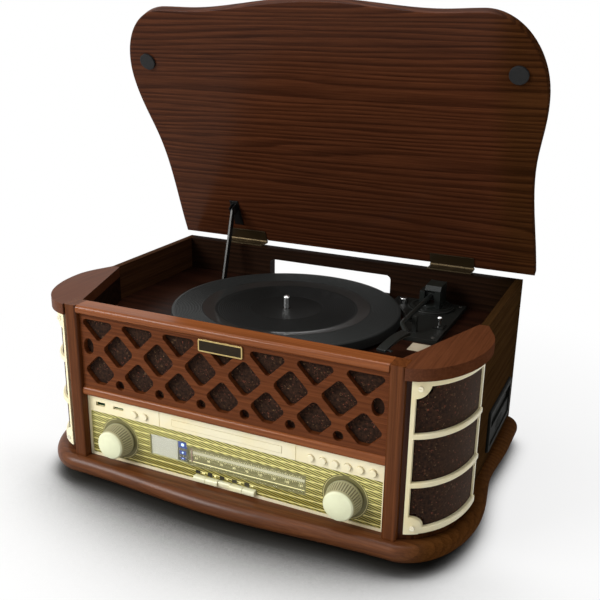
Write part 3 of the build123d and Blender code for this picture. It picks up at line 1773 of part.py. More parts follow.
def build():
    os.makedirs("parts", exist_ok=True)
    save("base_plinth", make_base())
    save("rubber_feet", *make_feet())
    side = make_side_panel()
    save("side_panels", side - tape_hole(), mirrored(side))
    save("well_walls", *make_well_walls())
    save("rear_panel", make_rear_panel())
    column = make_column()
    save("front_columns", column, mirrored(column))
    top_rail = make_rail(0, top_rail_z, rail_height)
    save("front_rails", top_rail, make_rail(middle_rail_setback, middle_rail_z, middle_rail_height))
    for name, piece in (
            ("ear_tops", make_ear_top()), ("ear_shells", make_ear_shell()),
            ("ear_trims", make_ear_trim())):
        save(name, piece, mirrored(piece))
    save("trim_screws", *make_trim_screws())
    ear_cloth = make_ear_cloth()
    save("speaker_cloths", make_grille_cloth(), ear_cloth, mirrored(ear_cloth))
    speaker = make_speaker()
    save("speaker_drivers", *speaker, *[mirrored(piece) for piece in speaker])
    save("grille_board", make_grille_board())
    save("badge_plate", make_badge())
    save("deck_board", make_deck())
    save("fascia_frame", make_fascia_frame())
    save("dial_panel", *make_dial_panel())
    save("dial_window", make_dial_window())
    save("control_board", *make_control_board())
    for number, x in enumerate(button_places(), 1):
        save(f"round_button_{number}", make_button(x))
    for number in range(1, key_count + 1):
        save(f"function_key_{number}", make_key(number))
    save("volume_knob", make_knob(-knob_x))
    save("tuning_knob", make_knob(knob_x))
    save("dial_pointer", make_pointer())
    save("disc_tray", make_tray())
    save("disc_loader", *make_loader())
    save("platter", make_platter())
    save("spindle", make_spindle())
    save("drive_motor", make_motor())
    save("motor_pulley", make_pulley())
    save("drive_belt", make_belt())
    save("arm_plinth", make_arm_plinth())
    save("arm_turret", make_turret())
    save("tonearm", make_tonearm())
    save("headshell", make_headshell())
    save("cue_lever", make_cue_lever())
    save("speed_knob", make_speed_knob())
    save("lid_board", make_lid())
    save("lid_bumpers", *make_bumpers())
    save("hinge_fixed_leaves", *make_fixed_leaves())
    save("hinge_lid_leaves", *make_lid_leaves())
    save("stay_bracket", make_stay_bracket())
    save("stay_bar", make_stay_bar())
    save("tape_bezel", make_tape_bezel())
    save("tape_flap", make_tape_flap())
    save("tape_mechanism", *make_tape_mechanism())
    save("jack_plate", make_jack_plate())
    save("power_supply", *make_power_board(), make_transformer())


build()
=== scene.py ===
import math
import bmesh
import bpy
from mathutils import Matrix, Vector


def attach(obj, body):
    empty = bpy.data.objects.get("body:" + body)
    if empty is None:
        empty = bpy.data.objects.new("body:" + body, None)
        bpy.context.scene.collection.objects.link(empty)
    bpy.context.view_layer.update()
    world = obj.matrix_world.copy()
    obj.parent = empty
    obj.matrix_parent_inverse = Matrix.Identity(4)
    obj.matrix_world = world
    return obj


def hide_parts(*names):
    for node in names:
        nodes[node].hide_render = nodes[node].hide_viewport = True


# A wooden music centre with a record player and a radio dial, in its studio. Lengths are millimetres
# until "at" turns them into metres: x across, y from the column faces backwards, z up from the floor.

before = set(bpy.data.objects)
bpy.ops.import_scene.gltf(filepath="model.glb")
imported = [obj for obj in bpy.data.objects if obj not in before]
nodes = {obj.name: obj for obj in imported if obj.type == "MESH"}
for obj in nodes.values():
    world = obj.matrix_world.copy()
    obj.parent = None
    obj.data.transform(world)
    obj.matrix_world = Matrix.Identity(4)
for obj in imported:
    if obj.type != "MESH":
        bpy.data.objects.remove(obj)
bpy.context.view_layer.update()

front_face = -160.3


def at(x, y, z):
    return Vector((x, y + front_face, z)) / 1000


# Camera and light


def set_camera():
    data = bpy.data.cameras.new("camera")
    data.sensor_width = 36.0
    data.lens = 48.983
    camera = bpy.data.objects.new("camera", data)
    right = Vector((0.9062, 0.42259, 0.01506)).normalized()
    back = Vector((0.39662, -0.86177, 0.3163)).normalized()
    up = back.cross(right)
    turn = Matrix((right, up, back)).transposed()
    camera.matrix_world = Matrix.Translation(at(379.38, -636.62, 490.21)) @ turn.to_4x4()
    bpy.context.scene.collection.objects.link(camera)
    bpy.context.scene.camera = camera


def add_lamp(name, place, aim, size, power):
    data = bpy.data.lights.new(name, "AREA")
    data.shape = "RECTANGLE"
    data.size, data.size_y = size
    data.energy = power
    lamp = bpy.data.objects.new(name, data)
    place = Vector(place)
    lamp.location = place
    lamp.rotation_euler = (place - Vector(aim)).to_track_quat("Z", "Y").to_euler()
    bpy.context.scene.collection.objects.link(lamp)


# Finishes: a small layer over the shader nodes


class Field:
    """A number that varies over a surface, written with ordinary operators."""

    def __init__(self, tree, socket):
        self.tree = tree
        self.socket = socket

    def math(self, kind, *values, clamp=False):
        node = self.tree.nodes.new("ShaderNodeMath")
        node.operation = kind
        node.use_clamp = clamp
        for slot, value in zip(node.inputs, values):
            if isinstance(value, Field):
                self.tree.links.new(value.socket, slot)
            else:
                slot.default_value = value
        return Field(self.tree, node.outputs[0])

    def __add__(self, other):
        return self.math("ADD", self, other)

    def __sub__(self, other):
        return self.math("SUBTRACT", self, other)

    def __rsub__(self, other):
        return self.math("SUBTRACT", other, self)

    def __mul__(self, other):
        return self.math("MULTIPLY", self, other)

    def __truediv__(self, other):
        return self.math("DIVIDE", self, other)

    def __mod__(self, other):
        return self.math("FLOORED_MODULO", self, other)

    def __abs__(self):
        return self.math("ABSOLUTE", self)

    def __lt__(self, other):
        return self.math("LESS_THAN", self, other)

    def __gt__(self, other):
        return self.math("GREATER_THAN", self, other)

    __radd__ = __add__
    __rmul__ = __mul__

    def clamp(self):
        return self.math("ADD", self, 0.0, clamp=True)

    def sqrt(self):
        return self.math("SQRT", self)

    def sin(self):
        return self.math("SINE", self)

    def most(self, other):
        return self.math("MAXIMUM", self, other)

    def smooth(self, low, high):
        """0 below low, 1 above high, with a soft step between."""
        node = self.tree.nodes.new("ShaderNodeMapRange")
        node.interpolation_type = "SMOOTHSTEP"
        self.tree.links.new(self.socket, node.inputs["Value"])
        node.inputs["From Min"].default_value = low
        node.inputs["From Max"].default_value = high
        return Field(self.tree, node.outputs["Result"])

    def bar(self, centre, half, soft):
        """1 within half of centre, and 0 past a soft edge."""
        return 1 - abs(self - centre).smooth(half - soft / 2, half + soft / 2)


class Finish:
    """A material with a Principled shader. Keyword values go on the shader's own sockets."""

    def __init__(self, name, **constants):
        self.material = bpy.data.materials.new(name)
        self.material.use_nodes = True
        self.tree = self.material.node_tree
        self.shader = next(n for n in self.tree.nodes if n.type == "BSDF_PRINCIPLED")
        for key, value in constants.items():
            self.shader.inputs[key.replace("_", " ")].default_value = value
        self.memo = {}

    def node(self, kind, settings=None, **sockets):
        node = self.tree.nodes.new(kind)
        for key, value in (settings or {}).items():
            if key == "stops":
                ramp = node.color_ramp.elements
                while len(ramp) < len(value):
                    ramp.new(0.5)
                for stop, (position, colour) in zip(ramp, value):
                    stop.position = position
                    stop.color = (*colour, 1)
            else:
                setattr(node, key, value)
        for key, value in sockets.items():
            slot = node.inputs[int(key[1:]) if key[1:].isdigit() else key.replace("_", " ")]
            self.feed(slot, value)
        return node

    def feed(self, slot, value):
        if isinstance(value, Field):
            self.tree.links.new(value.socket, slot)
        elif isinstance(value, bpy.types.NodeSocket):
            self.tree.links.new(value, slot)
        elif isinstance(value, tuple) and len(value) == 3 and slot.type == "RGBA":
            slot.default_value = (*value, 1)
        else:
            slot.default_value = value

    def field(self, socket):
        return Field(self.tree, socket)

    def place(self, scale=(1, 1, 1)):
        """Position on the object in millimetres, stretched by scale."""
        if "object" not in self.memo:
            self.memo["object"] = self.node("ShaderNodeTexCoord").outputs["Object"]
        factors = tuple(1000 * s for s in scale)
        key = ("place", factors)
        if key not in self.memo:
            self.memo[key] = self.node(
                "ShaderNodeVectorMath", {"operation": "MULTIPLY"},
                _0=self.memo["object"], _1=factors).outputs[0]
        return self.memo[key]

    def xyz(self):
        """Left to right, front to back and height in millimetres, in the frame's own place."""
        split = self.node("ShaderNodeSeparateXYZ", Vector=self.place())
        return [Field(self.tree, socket) for socket in split.outputs]

    def speckle(self, scale, vector=None, detail=3.0, rough=0.5):
        """Cloudy noise, on the object's own place unless a vector is given."""
        node = self.node(
            "ShaderNodeTexNoise", Vector=vector or self.place(), Scale=scale,
            Detail=detail, Roughness=rough)
        return Field(self.tree, node.outputs["Fac"])

    def cells(self, scale, vector):
        """Distance to the nearest of the scattered points."""
        node = self.node("ShaderNodeTexVoronoi", Vector=vector, Scale=scale)
        return Field(self.tree, node.outputs["Distance"])

    def blend(self, share, under, over, kind="MIX"):
        node = self.node("ShaderNodeMix", {"data_type": "RGBA", "blend_type": kind})
        self.feed(node.inputs[0], share)
        self.feed(node.inputs[6], under)
        self.feed(node.inputs[7], over)
        return node.outputs[2]

    def ramp(self, share, *stops):
        return self.node("ShaderNodeValToRGB", {"stops": stops}, Fac=share).outputs["Color"]

    def bump(self, height, strength=0.3, depth=0.1, under=None):
        node = self.node("ShaderNodeBump", Height=height, Strength=strength, Distance=depth / 1000)
        if under is not None:
            self.feed(node.inputs["Normal"], under)
        return node.outputs["Normal"]

    def rounded(self, radius):
        return self.node(
            "ShaderNodeBevel", {"samples": 6}, Radius=radius / 1000).outputs["Normal"]

    def set(self, **sockets):
        for key, value in sockets.items():
            self.feed(self.shader.inputs[key.replace("_", " ")], value)


def wood(
        name, along, heart, tones, gloss=0.3, edge=0.8, figure=1.0, ring=6.0, contrast=0.3,
        lacquer=0.32, flank_shade=0.8, rear_shade=False):
    """Stained wood, lacquered on its front and top. Grain runs along one axis, rings round heart.

    The right flank is darkened as painted shade by the share given, and where asked also towards the back
    of it.
    """
    finish = Finish(name, Coat_IOR=1.4, Coat_Roughness=gloss * 0.7, Specular_IOR_Level=0.0)
    dark, middle, light = tones
    long_scale = [1.0, 1.0, 1.0]
    long_scale[along] = 0.07
    fibre_scale = [1.0, 1.0, 1.0]
    fibre_scale[along] = 0.022
    drawn = finish.place(tuple(long_scale))
    fibre_place = finish.place(tuple(fibre_scale))
    axes = [i for i in range(3) if i != along]
    parts = finish.xyz()
    wander = finish.speckle(0.013, drawn, 2.0, 0.5) - 0.5
    drift = finish.speckle(0.06, drawn, 2.0, 0.5) - 0.5
    first = parts[axes[0]] - heart[0]
    second = parts[axes[1]] - heart[1]
    reach = (first * first + second * second).sqrt()
    rings = ((reach + wander * 75 * figure + drift * 9 * figure) / ring) % 1.0
    late = rings.smooth(0.2, 0.9) * (1 - rings.smooth(0.9, 1.0))
    streak = finish.speckle(0.5, fibre_place, 3.0, 0.6)
    fibre = finish.speckle(1.5, fibre_place, 3.0, 0.62)
    pore = finish.speckle(3.6, fibre_place, 2.0, 0.6).smooth(0.6, 0.72) * (0.4 + late * 0.6)
    patch = finish.speckle(0.011, drawn, 2.0, 0.5)
    tone = (
        streak.smooth(0.25, 0.75) * 0.42 + fibre.smooth(0.25, 0.75) * 0.24 + patch * 0.3
        + (1 - late) * contrast - 0.08).clamp()
    colour = finish.ramp(tone, (0.0, dark), (0.5, middle), (1.0, light))
    colour = finish.blend((late * contrast).clamp(), colour, dark)
    colour = finish.blend((pore * 0.4).clamp(), colour, tuple(c * 0.5 for c in dark))
    smear = finish.speckle(0.02, None, 3.0, 0.5)
    # Painted shade: the right flank is darkened by the share the caller gives.
    flank = parts[0].smooth(185.0, 222.0)
    colour = finish.blend((flank * flank_shade).clamp(), colour, (0.72, 0.86, 0.62), "MULTIPLY")
    # Painted shade: also darker towards the back of the right flank.
    if rear_shade:
        rear = parts[1].smooth(90.0, 230.0)
        colour = finish.blend((rear * flank).clamp(), colour, (0.42, 0.50, 0.42), "MULTIPLY")
    finish.set(
        Base_Color=colour,
        Coat_Weight=(lacquer * (1 - flank * 0.96) * (0.85 + smear * 0.3)).clamp(),
        Roughness=(gloss + smear * 0.12 + pore * 0.15 + late * 0.04).clamp(),
        Normal=finish.bump(
            0.5 - pore * 0.6 - late * 0.1 + fibre * 0.12, 0.3, 0.1, finish.rounded(edge)))
    return finish.material


def moulded(
        name, colour, rough=0.3, edge=0.3, grime=0.2, grain=0.0, coat=0.0, warm=(1.0, 0.92, 0.7),
        shine=0.4):
    """Moulded plastic: faint flow marks, a little yellowing in places, and a fine grain."""
    finish = Finish(name, Coat_Weight=coat, Coat_Roughness=0.08, Specular_IOR_Level=shine)
    flow = finish.speckle(0.03, None, 3.0, 0.5)
    dust = finish.speckle(0.4, None, 4.0, 0.6)
    aged = tuple(c * w for c, w in zip(colour, warm))
    tint = finish.blend((flow.smooth(0.35, 0.75) * 0.6).clamp(), colour, aged)
    tint = finish.blend(
        (dust.smooth(0.55, 0.8) * grime).clamp(), tint, tuple(c * 0.7 for c in colour))
    fine = finish.speckle(2.6, None, 2.0, 0.5)
    finish.set(
        Base_Color=tint,
        Roughness=(rough + dust * 0.12 + fine * grain * 0.2).clamp(),
        Normal=finish.bump(fine, 0.1 + grain * 0.5, 0.03 + grain * 0.05, finish.rounded(edge)))
    return finish.material


def metal(name, colour, rough=0.2, brushed=None):
    """Bare or plated metal, with brush marks along one axis where brushed is given."""
    finish = Finish(name, Metallic=1.0)
    stretch = [1.0, 1.0, 1.0]
    if brushed is not None:
        stretch[brushed] = 0.03
    marks = finish.speckle(2.5, finish.place(tuple(stretch)), 3.0, 0.6)
    cloud = finish.speckle(0.12, None, 3.0, 0.5)
    tint = finish.blend(
        (cloud.smooth(0.4, 0.8) * 0.25).clamp(), colour, tuple(c * 0.6 for c in colour))
    finish.set(
        Base_Color=tint,
        Roughness=(rough + marks * 0.14 + cloud * 0.1).clamp(),
        Normal=finish.bump(marks, 0.12 if brushed is not None else 0.04, 0.03, finish.rounded(0.25)))
    return finish.material


def speaker_weave():
    """Dark brown grille cloth with short curled slubs of red and gold."""
    finish = Finish("grille_cloth", Sheen_Weight=0.05, Sheen_Roughness=0.5, Specular_IOR_Level=0.08)
    x, y, z = finish.xyz()
    thread = 5.6
    warp = ((x + y) * thread).sin() * 0.5 + 0.5
    weft = (z * thread).sin() * 0.5 + 0.5
    weave = (warp * weft).sqrt()
    tone = finish.speckle(0.35, None, 3.0, 0.6)
    base = finish.blend(tone.smooth(0.3, 0.7), (0.012, 0.006, 0.0035), (0.054, 0.0235, 0.012))
    base = finish.blend((x.smooth(203.0, 238.0) * 0.35).clamp(), base, (0.085, 0.042, 0.021))
    slubs = None
    for scale, seat, ink in (
            (0.17, 0.0, (0.36, 0.10, 0.055)), (0.2, 40.0, (0.30, 0.17, 0.08)),
            (0.24, 90.0, (0.27, 0.085, 0.05))):
        moved = finish.node(
            "ShaderNodeVectorMath", {"operation": "ADD"},
            _0=finish.place(), _1=(seat, seat * 0.7, seat * 1.3)).outputs[0]
        centre = finish.cells(scale, moved)
        curl = centre.bar(0.2, 0.035, 0.04)
        keep = finish.speckle(scale * 2.1, moved, 1.0, 0.5).smooth(0.5, 0.6)
        mark = (curl * keep * (0.4 + weave * 0.6)).clamp()
        base = finish.blend(mark, base, ink)
        slubs = mark if slubs is None else slubs.most(mark)
    finish.set(
        Base_Color=finish.blend((1 - weave) * 0.5, base, (0.006, 0.004, 0.003)),
        Roughness=(0.82 + tone * 0.12).clamp(),
        Normal=finish.bump(weave * 0.6 + slubs * 0.8, 0.6, 0.25))
    return finish.material


dial_lines = tuple(37.3 + 7.2 * i for i in range(7))
plate_face = 10.78
wall_front, wall_low = 11.1, 45.0
card_back = 13.5
scale_face = 14.38
card_left, card_right, card_low, card_high = -47.0, 91.0, 48.6, 71.4
display_left, display_right, display_low, display_high = -93.4, -60.0, 50.2, 74.1
strip_left, strip_right = -59.9, -47.7
screen_front, screen_back = 12.75, 12.98
lamp_x = -53.6
lamps = ((69.4, 1.8, 5.2, 3.9), (60.2, 1.0, 4.2, 2.2), (53.3, 0.6, 2.8, 1.3))
knob_centre_z = 59.0
knob_half = 133.0
disc_radius = 24.0
arc_radius = 22.9
key_centres = tuple(-30.3 + 14.6 * i for i in range(5))
key_mark_z = 43.2
key_shade_shift = 3.6
key_sign_shift = 2.6


def knob_plastic():
    """Pale face; the fluted flank darker and olive, its grooves darker still, as painted shade and painted
    reflection.
    """
    finish = Finish("knob_plastic", Coat_Weight=0.15, Coat_Roughness=0.12, Specular_IOR_Level=0.4)
    x, y, z = finish.xyz()
    side = abs(x) - knob_half
    high = z - knob_centre_z
    reach = (side * side + high * high).sqrt()
    depth = y - front_face
    rim_radius, rim_depth, taper = 18.8, 7.4, 0.2206
    face = 1 - depth.smooth(-8.4, -6.6)
    flank = rim_radius - (rim_depth - depth) * taper
    groove_shade = (flank - reach).smooth(0.08, 0.5) * (1 - face)
    cloud = finish.speckle(0.06, None, 3.0, 0.5)
    dust = finish.speckle(0.5, None, 4.0, 0.6)
    # Painted shade: the flank is darker than the lit face, tinted olive as a painted reflection of the gold
    # plate.
    colour = finish.blend(face, (0.42, 0.40, 0.235), (0.80, 0.82, 0.56))
    colour = finish.blend((cloud.smooth(0.4, 0.8) * 0.25).clamp(), colour, (0.52, 0.48, 0.30))
    # Painted shade in the grooves of the flank.
    colour = finish.blend((groove_shade * 0.7).clamp(), colour, (0.12, 0.105, 0.055))
    finish.set(
        Base_Color=colour,
        Roughness=(0.3 + dust * 0.12 - face * 0.04).clamp(),
        Normal=finish.bump(dust, 0.08, 0.03, finish.rounded(0.3)))
    return finish.material


def dial_print():
    """Olive gold plate: slanted hatching under bright level lines, bare discs round the knobs."""
    finish = Finish(
        "dial_gold", Coat_Weight=0.1, Coat_Roughness=0.1, Specular_IOR_Level=0.3,
        Emission_Strength=0.5)
    x, y, z = finish.xyz()
    side = abs(x) - knob_half
    high = z - knob_centre_z
    round_knob = (side * side + high * high).sqrt()
    disc = 1 - round_knob.smooth(disc_radius, disc_radius + 0.3)
    arc = round_knob.bar(arc_radius, 0.25, 0.15) * abs(side).smooth(3.4, 3.8)
    hatch = (((x * 0.22 + z) * 2.6).sin() * 0.5 + 0.5).smooth(0.3, 0.7)
    depth = z.smooth(30.0, 86.0)
    plain = finish.blend(depth, (0.37, 0.31, 0.052), (0.68, 0.63, 0.20))
    inked = finish.blend(depth, (0.045, 0.036, 0.006), (0.105, 0.088, 0.018))
    colour = finish.blend(hatch, plain, inked)
    line = None
    for level in dial_lines:
        one = z.bar(level, 0.5, 0.25)
        line = one if line is None else line.most(one)
    card = (y > front_face + card_back).most(
        (x > card_left) * (x < card_right) * (z > card_low) * (z < card_high))
    # Painted shade: a dark patch at the top-left corner of each function key, where shade falls; the level
    # lines stop there.
    marks = None
    for centre in key_centres:
        one = x.bar(centre - key_shade_shift, 2.9, 0.3)
        marks = one if marks is None else marks.most(one)
    marks = marks * z.bar(key_mark_z, 2.1, 0.3)
    line = line * (1 - card.most(disc)) * (1 - marks)
    colour = finish.blend(card, colour, (0.155, 0.145, 0.060))
    colour = finish.blend(disc, colour, (0.17, 0.155, 0.06))
    colour = finish.blend(line, colour, (0.95, 0.88, 0.36))
    colour = finish.blend(arc, colour, (0.74, 0.66, 0.28))
    colour = finish.blend(marks, colour, (0.012, 0.011, 0.007))
    haze = finish.speckle(0.02, None, 3.0, 0.5)
    colour = finish.blend((haze.smooth(0.4, 0.8) * 0.12).clamp(), colour, (0.34, 0.31, 0.16))
    # Painted light: the walls of the window recess are painted bright and glow, and the card glows, partly
    # as the dial's backlight and partly as painted light against the shade of the recess.
    painted_light_wall = (y > front_face + wall_front) * (1 - card) * (z > wall_low)
    colour = finish.blend(painted_light_wall, colour, (0.66, 0.62, 0.30))
    finish.set(
        Base_Color=colour,
        Emission_Color=finish.blend(
            card.most(painted_light_wall * 0.6), (0.0, 0.0, 0.0), (0.15, 0.14, 0.058)),
        Roughness=(0.3 + haze * 0.14 - line * 0.1).clamp(),
        Normal=finish.bump(line.most(arc) * 0.6 + hatch * 0.1, 0.25, 0.05, finish.rounded(0.3)))
    return finish.material


def badge_print():
    """Blank name plate: a dark field inside a thin gilt border."""
    finish = Finish("badge_gilt", Coat_Weight=0.04, Coat_Roughness=0.08, Specular_IOR_Level=0.08)
    x, y, z = finish.xyz()
    centre_x, centre_z, half_wide, half_tall = -1.0, 191.2, 23.6, 5.1
    field = (abs(x - centre_x) < half_wide) * (abs(z - centre_z) < half_tall)
    cloud = finish.speckle(0.3, None, 3.0, 0.5)
    gilt = finish.blend(cloud, (0.46, 0.33, 0.13), (0.62, 0.47, 0.2))
    dark = finish.blend(cloud, (0.012, 0.008, 0.004), (0.028, 0.018, 0.009))
    finish.set(
        Base_Color=finish.blend(field, gilt, dark),
        Metallic=1 - field,
        Roughness=(0.24 + cloud * 0.16).clamp(),
        Normal=finish.bump(cloud, 0.1, 0.03, finish.rounded(0.3)))
    return finish.material


def ringed(name, colour, centre, pitch, rough, step):
    """Turned rubber disc: fine rings round its centre, a smoother band on its sloping step, and painted
    sheen that lightens the outer ring and the band.
    """
    finish = Finish(name, Specular_IOR_Level=0.14, Coat_Roughness=0.14)
    x, y, z = finish.xyz()
    across = x - centre[0]
    deep = y - centre[1]
    reach = (across * across + deep * deep).sqrt()
    ring = (reach * (2 * math.pi / pitch)).sin() * 0.5 + 0.5
    band = reach.bar((step[0] + step[1]) / 2, (step[1] - step[0]) / 2, 1.0)
    outer = reach.smooth(step[1], step[1] + 2)
    cloud = finish.speckle(0.03, None, 3.0, 0.55)
    dust = finish.speckle(1.3, None, 3.0, 0.6).smooth(0.62, 0.75)
    inner = 1 - reach.smooth(70.0, 84.0)
    # Painted sheen: the outer ring and the sloping step band are lighter; the centre is darker.
    share = (ring * 0.2 + cloud * 0.15 + outer * 0.7 + band * 0.8 - inner * 0.3).clamp()
    tint = finish.blend(share, colour, tuple(c * 3.0 + 0.005 for c in colour))
    finish.set(
        Base_Color=finish.blend((dust * 0.1).clamp(), tint, (0.12, 0.11, 0.1)),
        Coat_Weight=(band * 0.9).clamp(),
        Roughness=(rough + cloud * 0.12 + dust * 0.1 - band * 0.16).clamp(),
        Normal=finish.bump(ring, 0.2, 0.04, finish.rounded(0.3)))
    return finish.material


def clear_sheet():
    """Clear plastic with a trace of haze."""
    finish = Finish("dial_clear", Transmission_Weight=1.0, IOR=1.46, Specular_IOR_Level=0.5)
    haze = finish.speckle(0.05, None, 3.0, 0.5)
    finish.set(
        Base_Color=finish.blend(haze, (0.98, 0.99, 0.96), (0.95, 0.97, 0.93)),
        Roughness=(haze * 0.04 + 0.01).clamp(), Alpha=0.1)
    return finish.material


def lit(name, colour, dark, strength, scale=0.3):
    """A screen, lamp or print that glows faintly through a dark lens; on print the glow is partly painted
    light.
    """
    finish = Finish(name, Emission_Strength=strength, Coat_Weight=0.2)
    cloud = finish.speckle(scale, None, 2.0, 0.5)
    finish.set(
        Base_Color=finish.blend(cloud, dark, colour),
        Emission_Color=finish.blend(cloud, tuple(c * 0.92 for c in colour), colour),
        Roughness=(0.3 + cloud * 0.1).clamp())
    return finish.material


# Pieces built here


def piece(name, bm, body, material, smooth):
    """An object of the scene that rides on a body. Edges over smooth degrees stay sharp."""
    mesh = bpy.data.meshes.new(name)
    bmesh.ops.recalc_face_normals(bm, faces=bm.faces)
    bm.to_mesh(mesh)
    bm.free()
    item = bpy.data.objects.new(name, mesh)
    bpy.context.scene.collection.objects.link(item)
    mesh.materials.append(material)
    if smooth:
        mesh.polygons.foreach_set("use_smooth", [True] * len(mesh.polygons))
        mesh.set_sharp_from_angle(angle=math.radians(smooth))
    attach(item, body)
    return item


def lathe(profile, axis_at, steps=96, turn=None):
    """A turned solid: profile points are (radius, height), from the axis outwards and back."""
    bm = bmesh.new()
    rings = []
    for radius, height in profile:
        if radius < 1e-4:
            rings.append([bm.verts.new((0, 0, height))])
        else:
            rings.append([
                bm.verts.new((
                    radius * math.cos(2 * math.pi * k / steps),
                    radius * math.sin(2 * math.pi * k / steps), height))
                for k in range(steps)])
    for low, high in zip(rings, rings[1:]):
        for k in range(steps):
            n = (k + 1) % steps
            loop = [low[k % len(low)], low[n % len(low)], high[n % len(high)], high[k % len(high)]]
            corners = []
            for vert in loop:
                if vert not in corners:
                    corners.append(vert)
            if len(corners) > 2:
                bm.faces.new(corners)
    spin = (turn or Matrix.Identity(4)).to_3x3()
    for vert in bm.verts:
        vert.co = at(*(Vector(axis_at) + spin @ vert.co))
    return bm


def bar(bm, x0, x1, y0, y1, z0, z1, soften=0.0):
    """A block between two corners, with its edges softened."""
    made = bmesh.ops.create_cube(bm, size=1.0)
    verts = made["verts"]
    for vert in verts:
        vert.co = at(
            x0 + (vert.co.x + 0.5) * (x1 - x0), y0 + (vert.co.y + 0.5) * (y1 - y0),
            z0 + (vert.co.z + 0.5) * (z1 - z0))
    if soften:
        edges = list({edge for vert in verts for edge in vert.link_edges})
        bmesh.ops.bevel(
            bm, geom=edges, offset=soften / 1000, segments=1, profile=0.5, affect="EDGES")


def paint(material, *names):
    """Gives nodes of the CAD their finish."""
    for name in names:
        data = nodes[name].data
        data.materials.clear()
        data.materials.append(material)


def cloth_sheet(name, columns, rows, place, keep):
    """A stretched cloth: place(u, v) gives a point in the cabinet, keep says which weave cells stay."""
    bm = bmesh.new()
    grid = {}
    for i in range(columns + 1):
        for j in range(rows + 1):
            grid[i, j] = place(i / columns, j / rows)
    made = {}
    for i in range(columns):
        for j in range(rows):
            ring = [(i, j), (i + 1, j), (i + 1, j + 1), (i, j + 1)]
            if not all(keep(*grid[k]) for k in ring):
                continue
            for k in ring:
                if k not in made:
                    made[k] = bm.verts.new(at(*grid[k]))
            bm.faces.new([made[k] for k in ring])
    sheet = piece(name, bm, "cabinet", finishes["cloth"], 60)
    thick = sheet.modifiers.new("cloth", "SOLIDIFY")
    thick.thickness = 0.0006
    thick.offset = 0.0
    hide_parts("speaker_cloths")


def front_cloth():
    """The cloth behind the grille board, stretched almost flat."""
    half, low, high, back = 173.7, 116.2, 200.8, 12.2

    def place(u, v):
        x = -half + 2 * half * u
        z = low + (high - low) * v
        return x, back + 0.12 * math.sin(x * 0.11) * math.sin(z * 0.17), z

    cloth_sheet(
        "front_cloth", 120, 30, place, lambda x, y, z: True)


def ear_cloths():
    """Cloths bent round the two ear housings, cut away under the screw bosses of the trim frames."""
    reach, length, centre_x, centre_y = 55.6, 85.4, 181.6, 92.0
    low, high = 43.1, 194.0
    inner_x, rear_y = 198.4, 87.6
    boss_x, boss_reach, boss_heights = 198.1, 11.8, (46.3, 190.8)
    first = math.asin((inner_x - centre_x) / reach)
    last = math.acos((centre_y - rear_y) / length)

    def keep(x, y, z):
        return min(math.hypot(abs(x) - boss_x, z - height) for height in boss_heights) > boss_reach

    for side, name in ((-1, "ear_cloth_left"), (1, "ear_cloth_right")):

        def place(u, v):
            t = first + (last - first) * u
            z = low + (high - low) * v
            return (
                side * (centre_x + reach * math.sin(t)), centre_y - length * math.cos(t), z)

        cloth_sheet(
            name, 48, 76, place, keep)


def platter_mat():
    """The whole platter, with the fine ridges of its rubber top."""
    profile = [(4.65, 180.0), (35.8, 180.0), (41.0, 180.8)]
    r = 43.0
    while r < 81.0:
        profile += [(r, 180.8), (r + 0.7, 180.62), (r + 1.4, 180.8)]
        r += 2.4
    profile += [(82.6, 180.8), (83.4, 180.95), (96.4, 182.9), (97.4, 183.0)]
    r = 99.0
    while r < 129.0:
        profile += [(r, 183.0), (r + 0.55, 182.72), (r + 1.1, 183.0)]
        r += 1.7
    profile += [
        (131.2, 183.0), (132.3, 182.6), (132.9, 181.6), (133.0, 180.8), (133.0, 171.3),
        (132.7, 171.0), (130.3, 171.0), (130.0, 171.3), (130.0, 180.0), (90.0, 180.0),
        (90.0, 171.6), (87.0, 171.6), (87.0, 177.8), (11.0, 177.6), (11.0, 169.8),
        (4.65, 169.8), (4.65, 180.0)]
    disc = lathe(profile, (-11.5, 175.5, 0), 144)
    disc = piece("platter_mat", disc, "platter", finishes["platter"], 20)
    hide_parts("platter")


def thin_plate(bm, x0, x1, z0, z1, y):
    """A printed block: it stands a trace proud of an upright face at y."""
    bar(bm, x0, x1, y - 0.12, y, z0, z1)


def screen():
    """The grey display, and beside it a strip with three blue lamps on square tiles."""
    bm = bmesh.new()
    bar(bm, display_left, display_right, screen_front, screen_back, display_low, display_high, 0.08)
    piece("display_face", bm, "cabinet", finishes["screen"], 30)
    bm = bmesh.new()
    bar(bm, strip_left, strip_right, screen_front, screen_back, display_low, display_high, 0.08)
    piece("lamp_strip", bm, "cabinet", finishes["lamp_strip"], 30)
    turn = Matrix.Rotation(math.pi / 2, 4, "X")
    for number, (z, radius, wide, tall) in enumerate(lamps, 1):
        bm = bmesh.new()
        bar(bm, lamp_x - wide, lamp_x + wide, 12.6, 12.76, z - tall, z + tall, 0.06)
        piece(f"lamp_tile_{number}", bm, "cabinet", finishes["lamp_tile"], 30)
        dome = [(0, 0.5), (radius * 0.6, 0.42), (radius, 0.1), (radius, 0), (0, 0)]
        bm = lathe(dome, (lamp_x, 12.62, z), 24, turn)
        piece(f"lamp_{number}", bm, "cabinet", finishes["lamp"], 30)


def numbers(name, words, size, places, y):
    """Raised numbers on an upright face."""
    whole = bmesh.new()
    for word, (x, z) in zip(words, places):
        text = bpy.data.curves.new(name, "FONT")
        text.body = word
        text.size = size
        text.align_x = "CENTER"
        text.align_y = "CENTER"
        text.extrude = 0.06
        text.resolution_u = 3
        holder = bpy.data.objects.new(name, text)
        mesh = bpy.data.meshes.new_from_object(holder)
        part = bmesh.new()
        part.from_mesh(mesh)
        for vert in part.verts:
            vert.co = at(x + vert.co.x, y - vert.co.z, z + vert.co.y)
        part.to_mesh(mesh)
        part.free()
        whole.from_mesh(mesh)
        bpy.data.objects.remove(holder)
        bpy.data.curves.remove(text)
        bpy.data.meshes.remove(mesh)
    piece(name, whole, "cabinet", finishes["scale_ink"], 0)


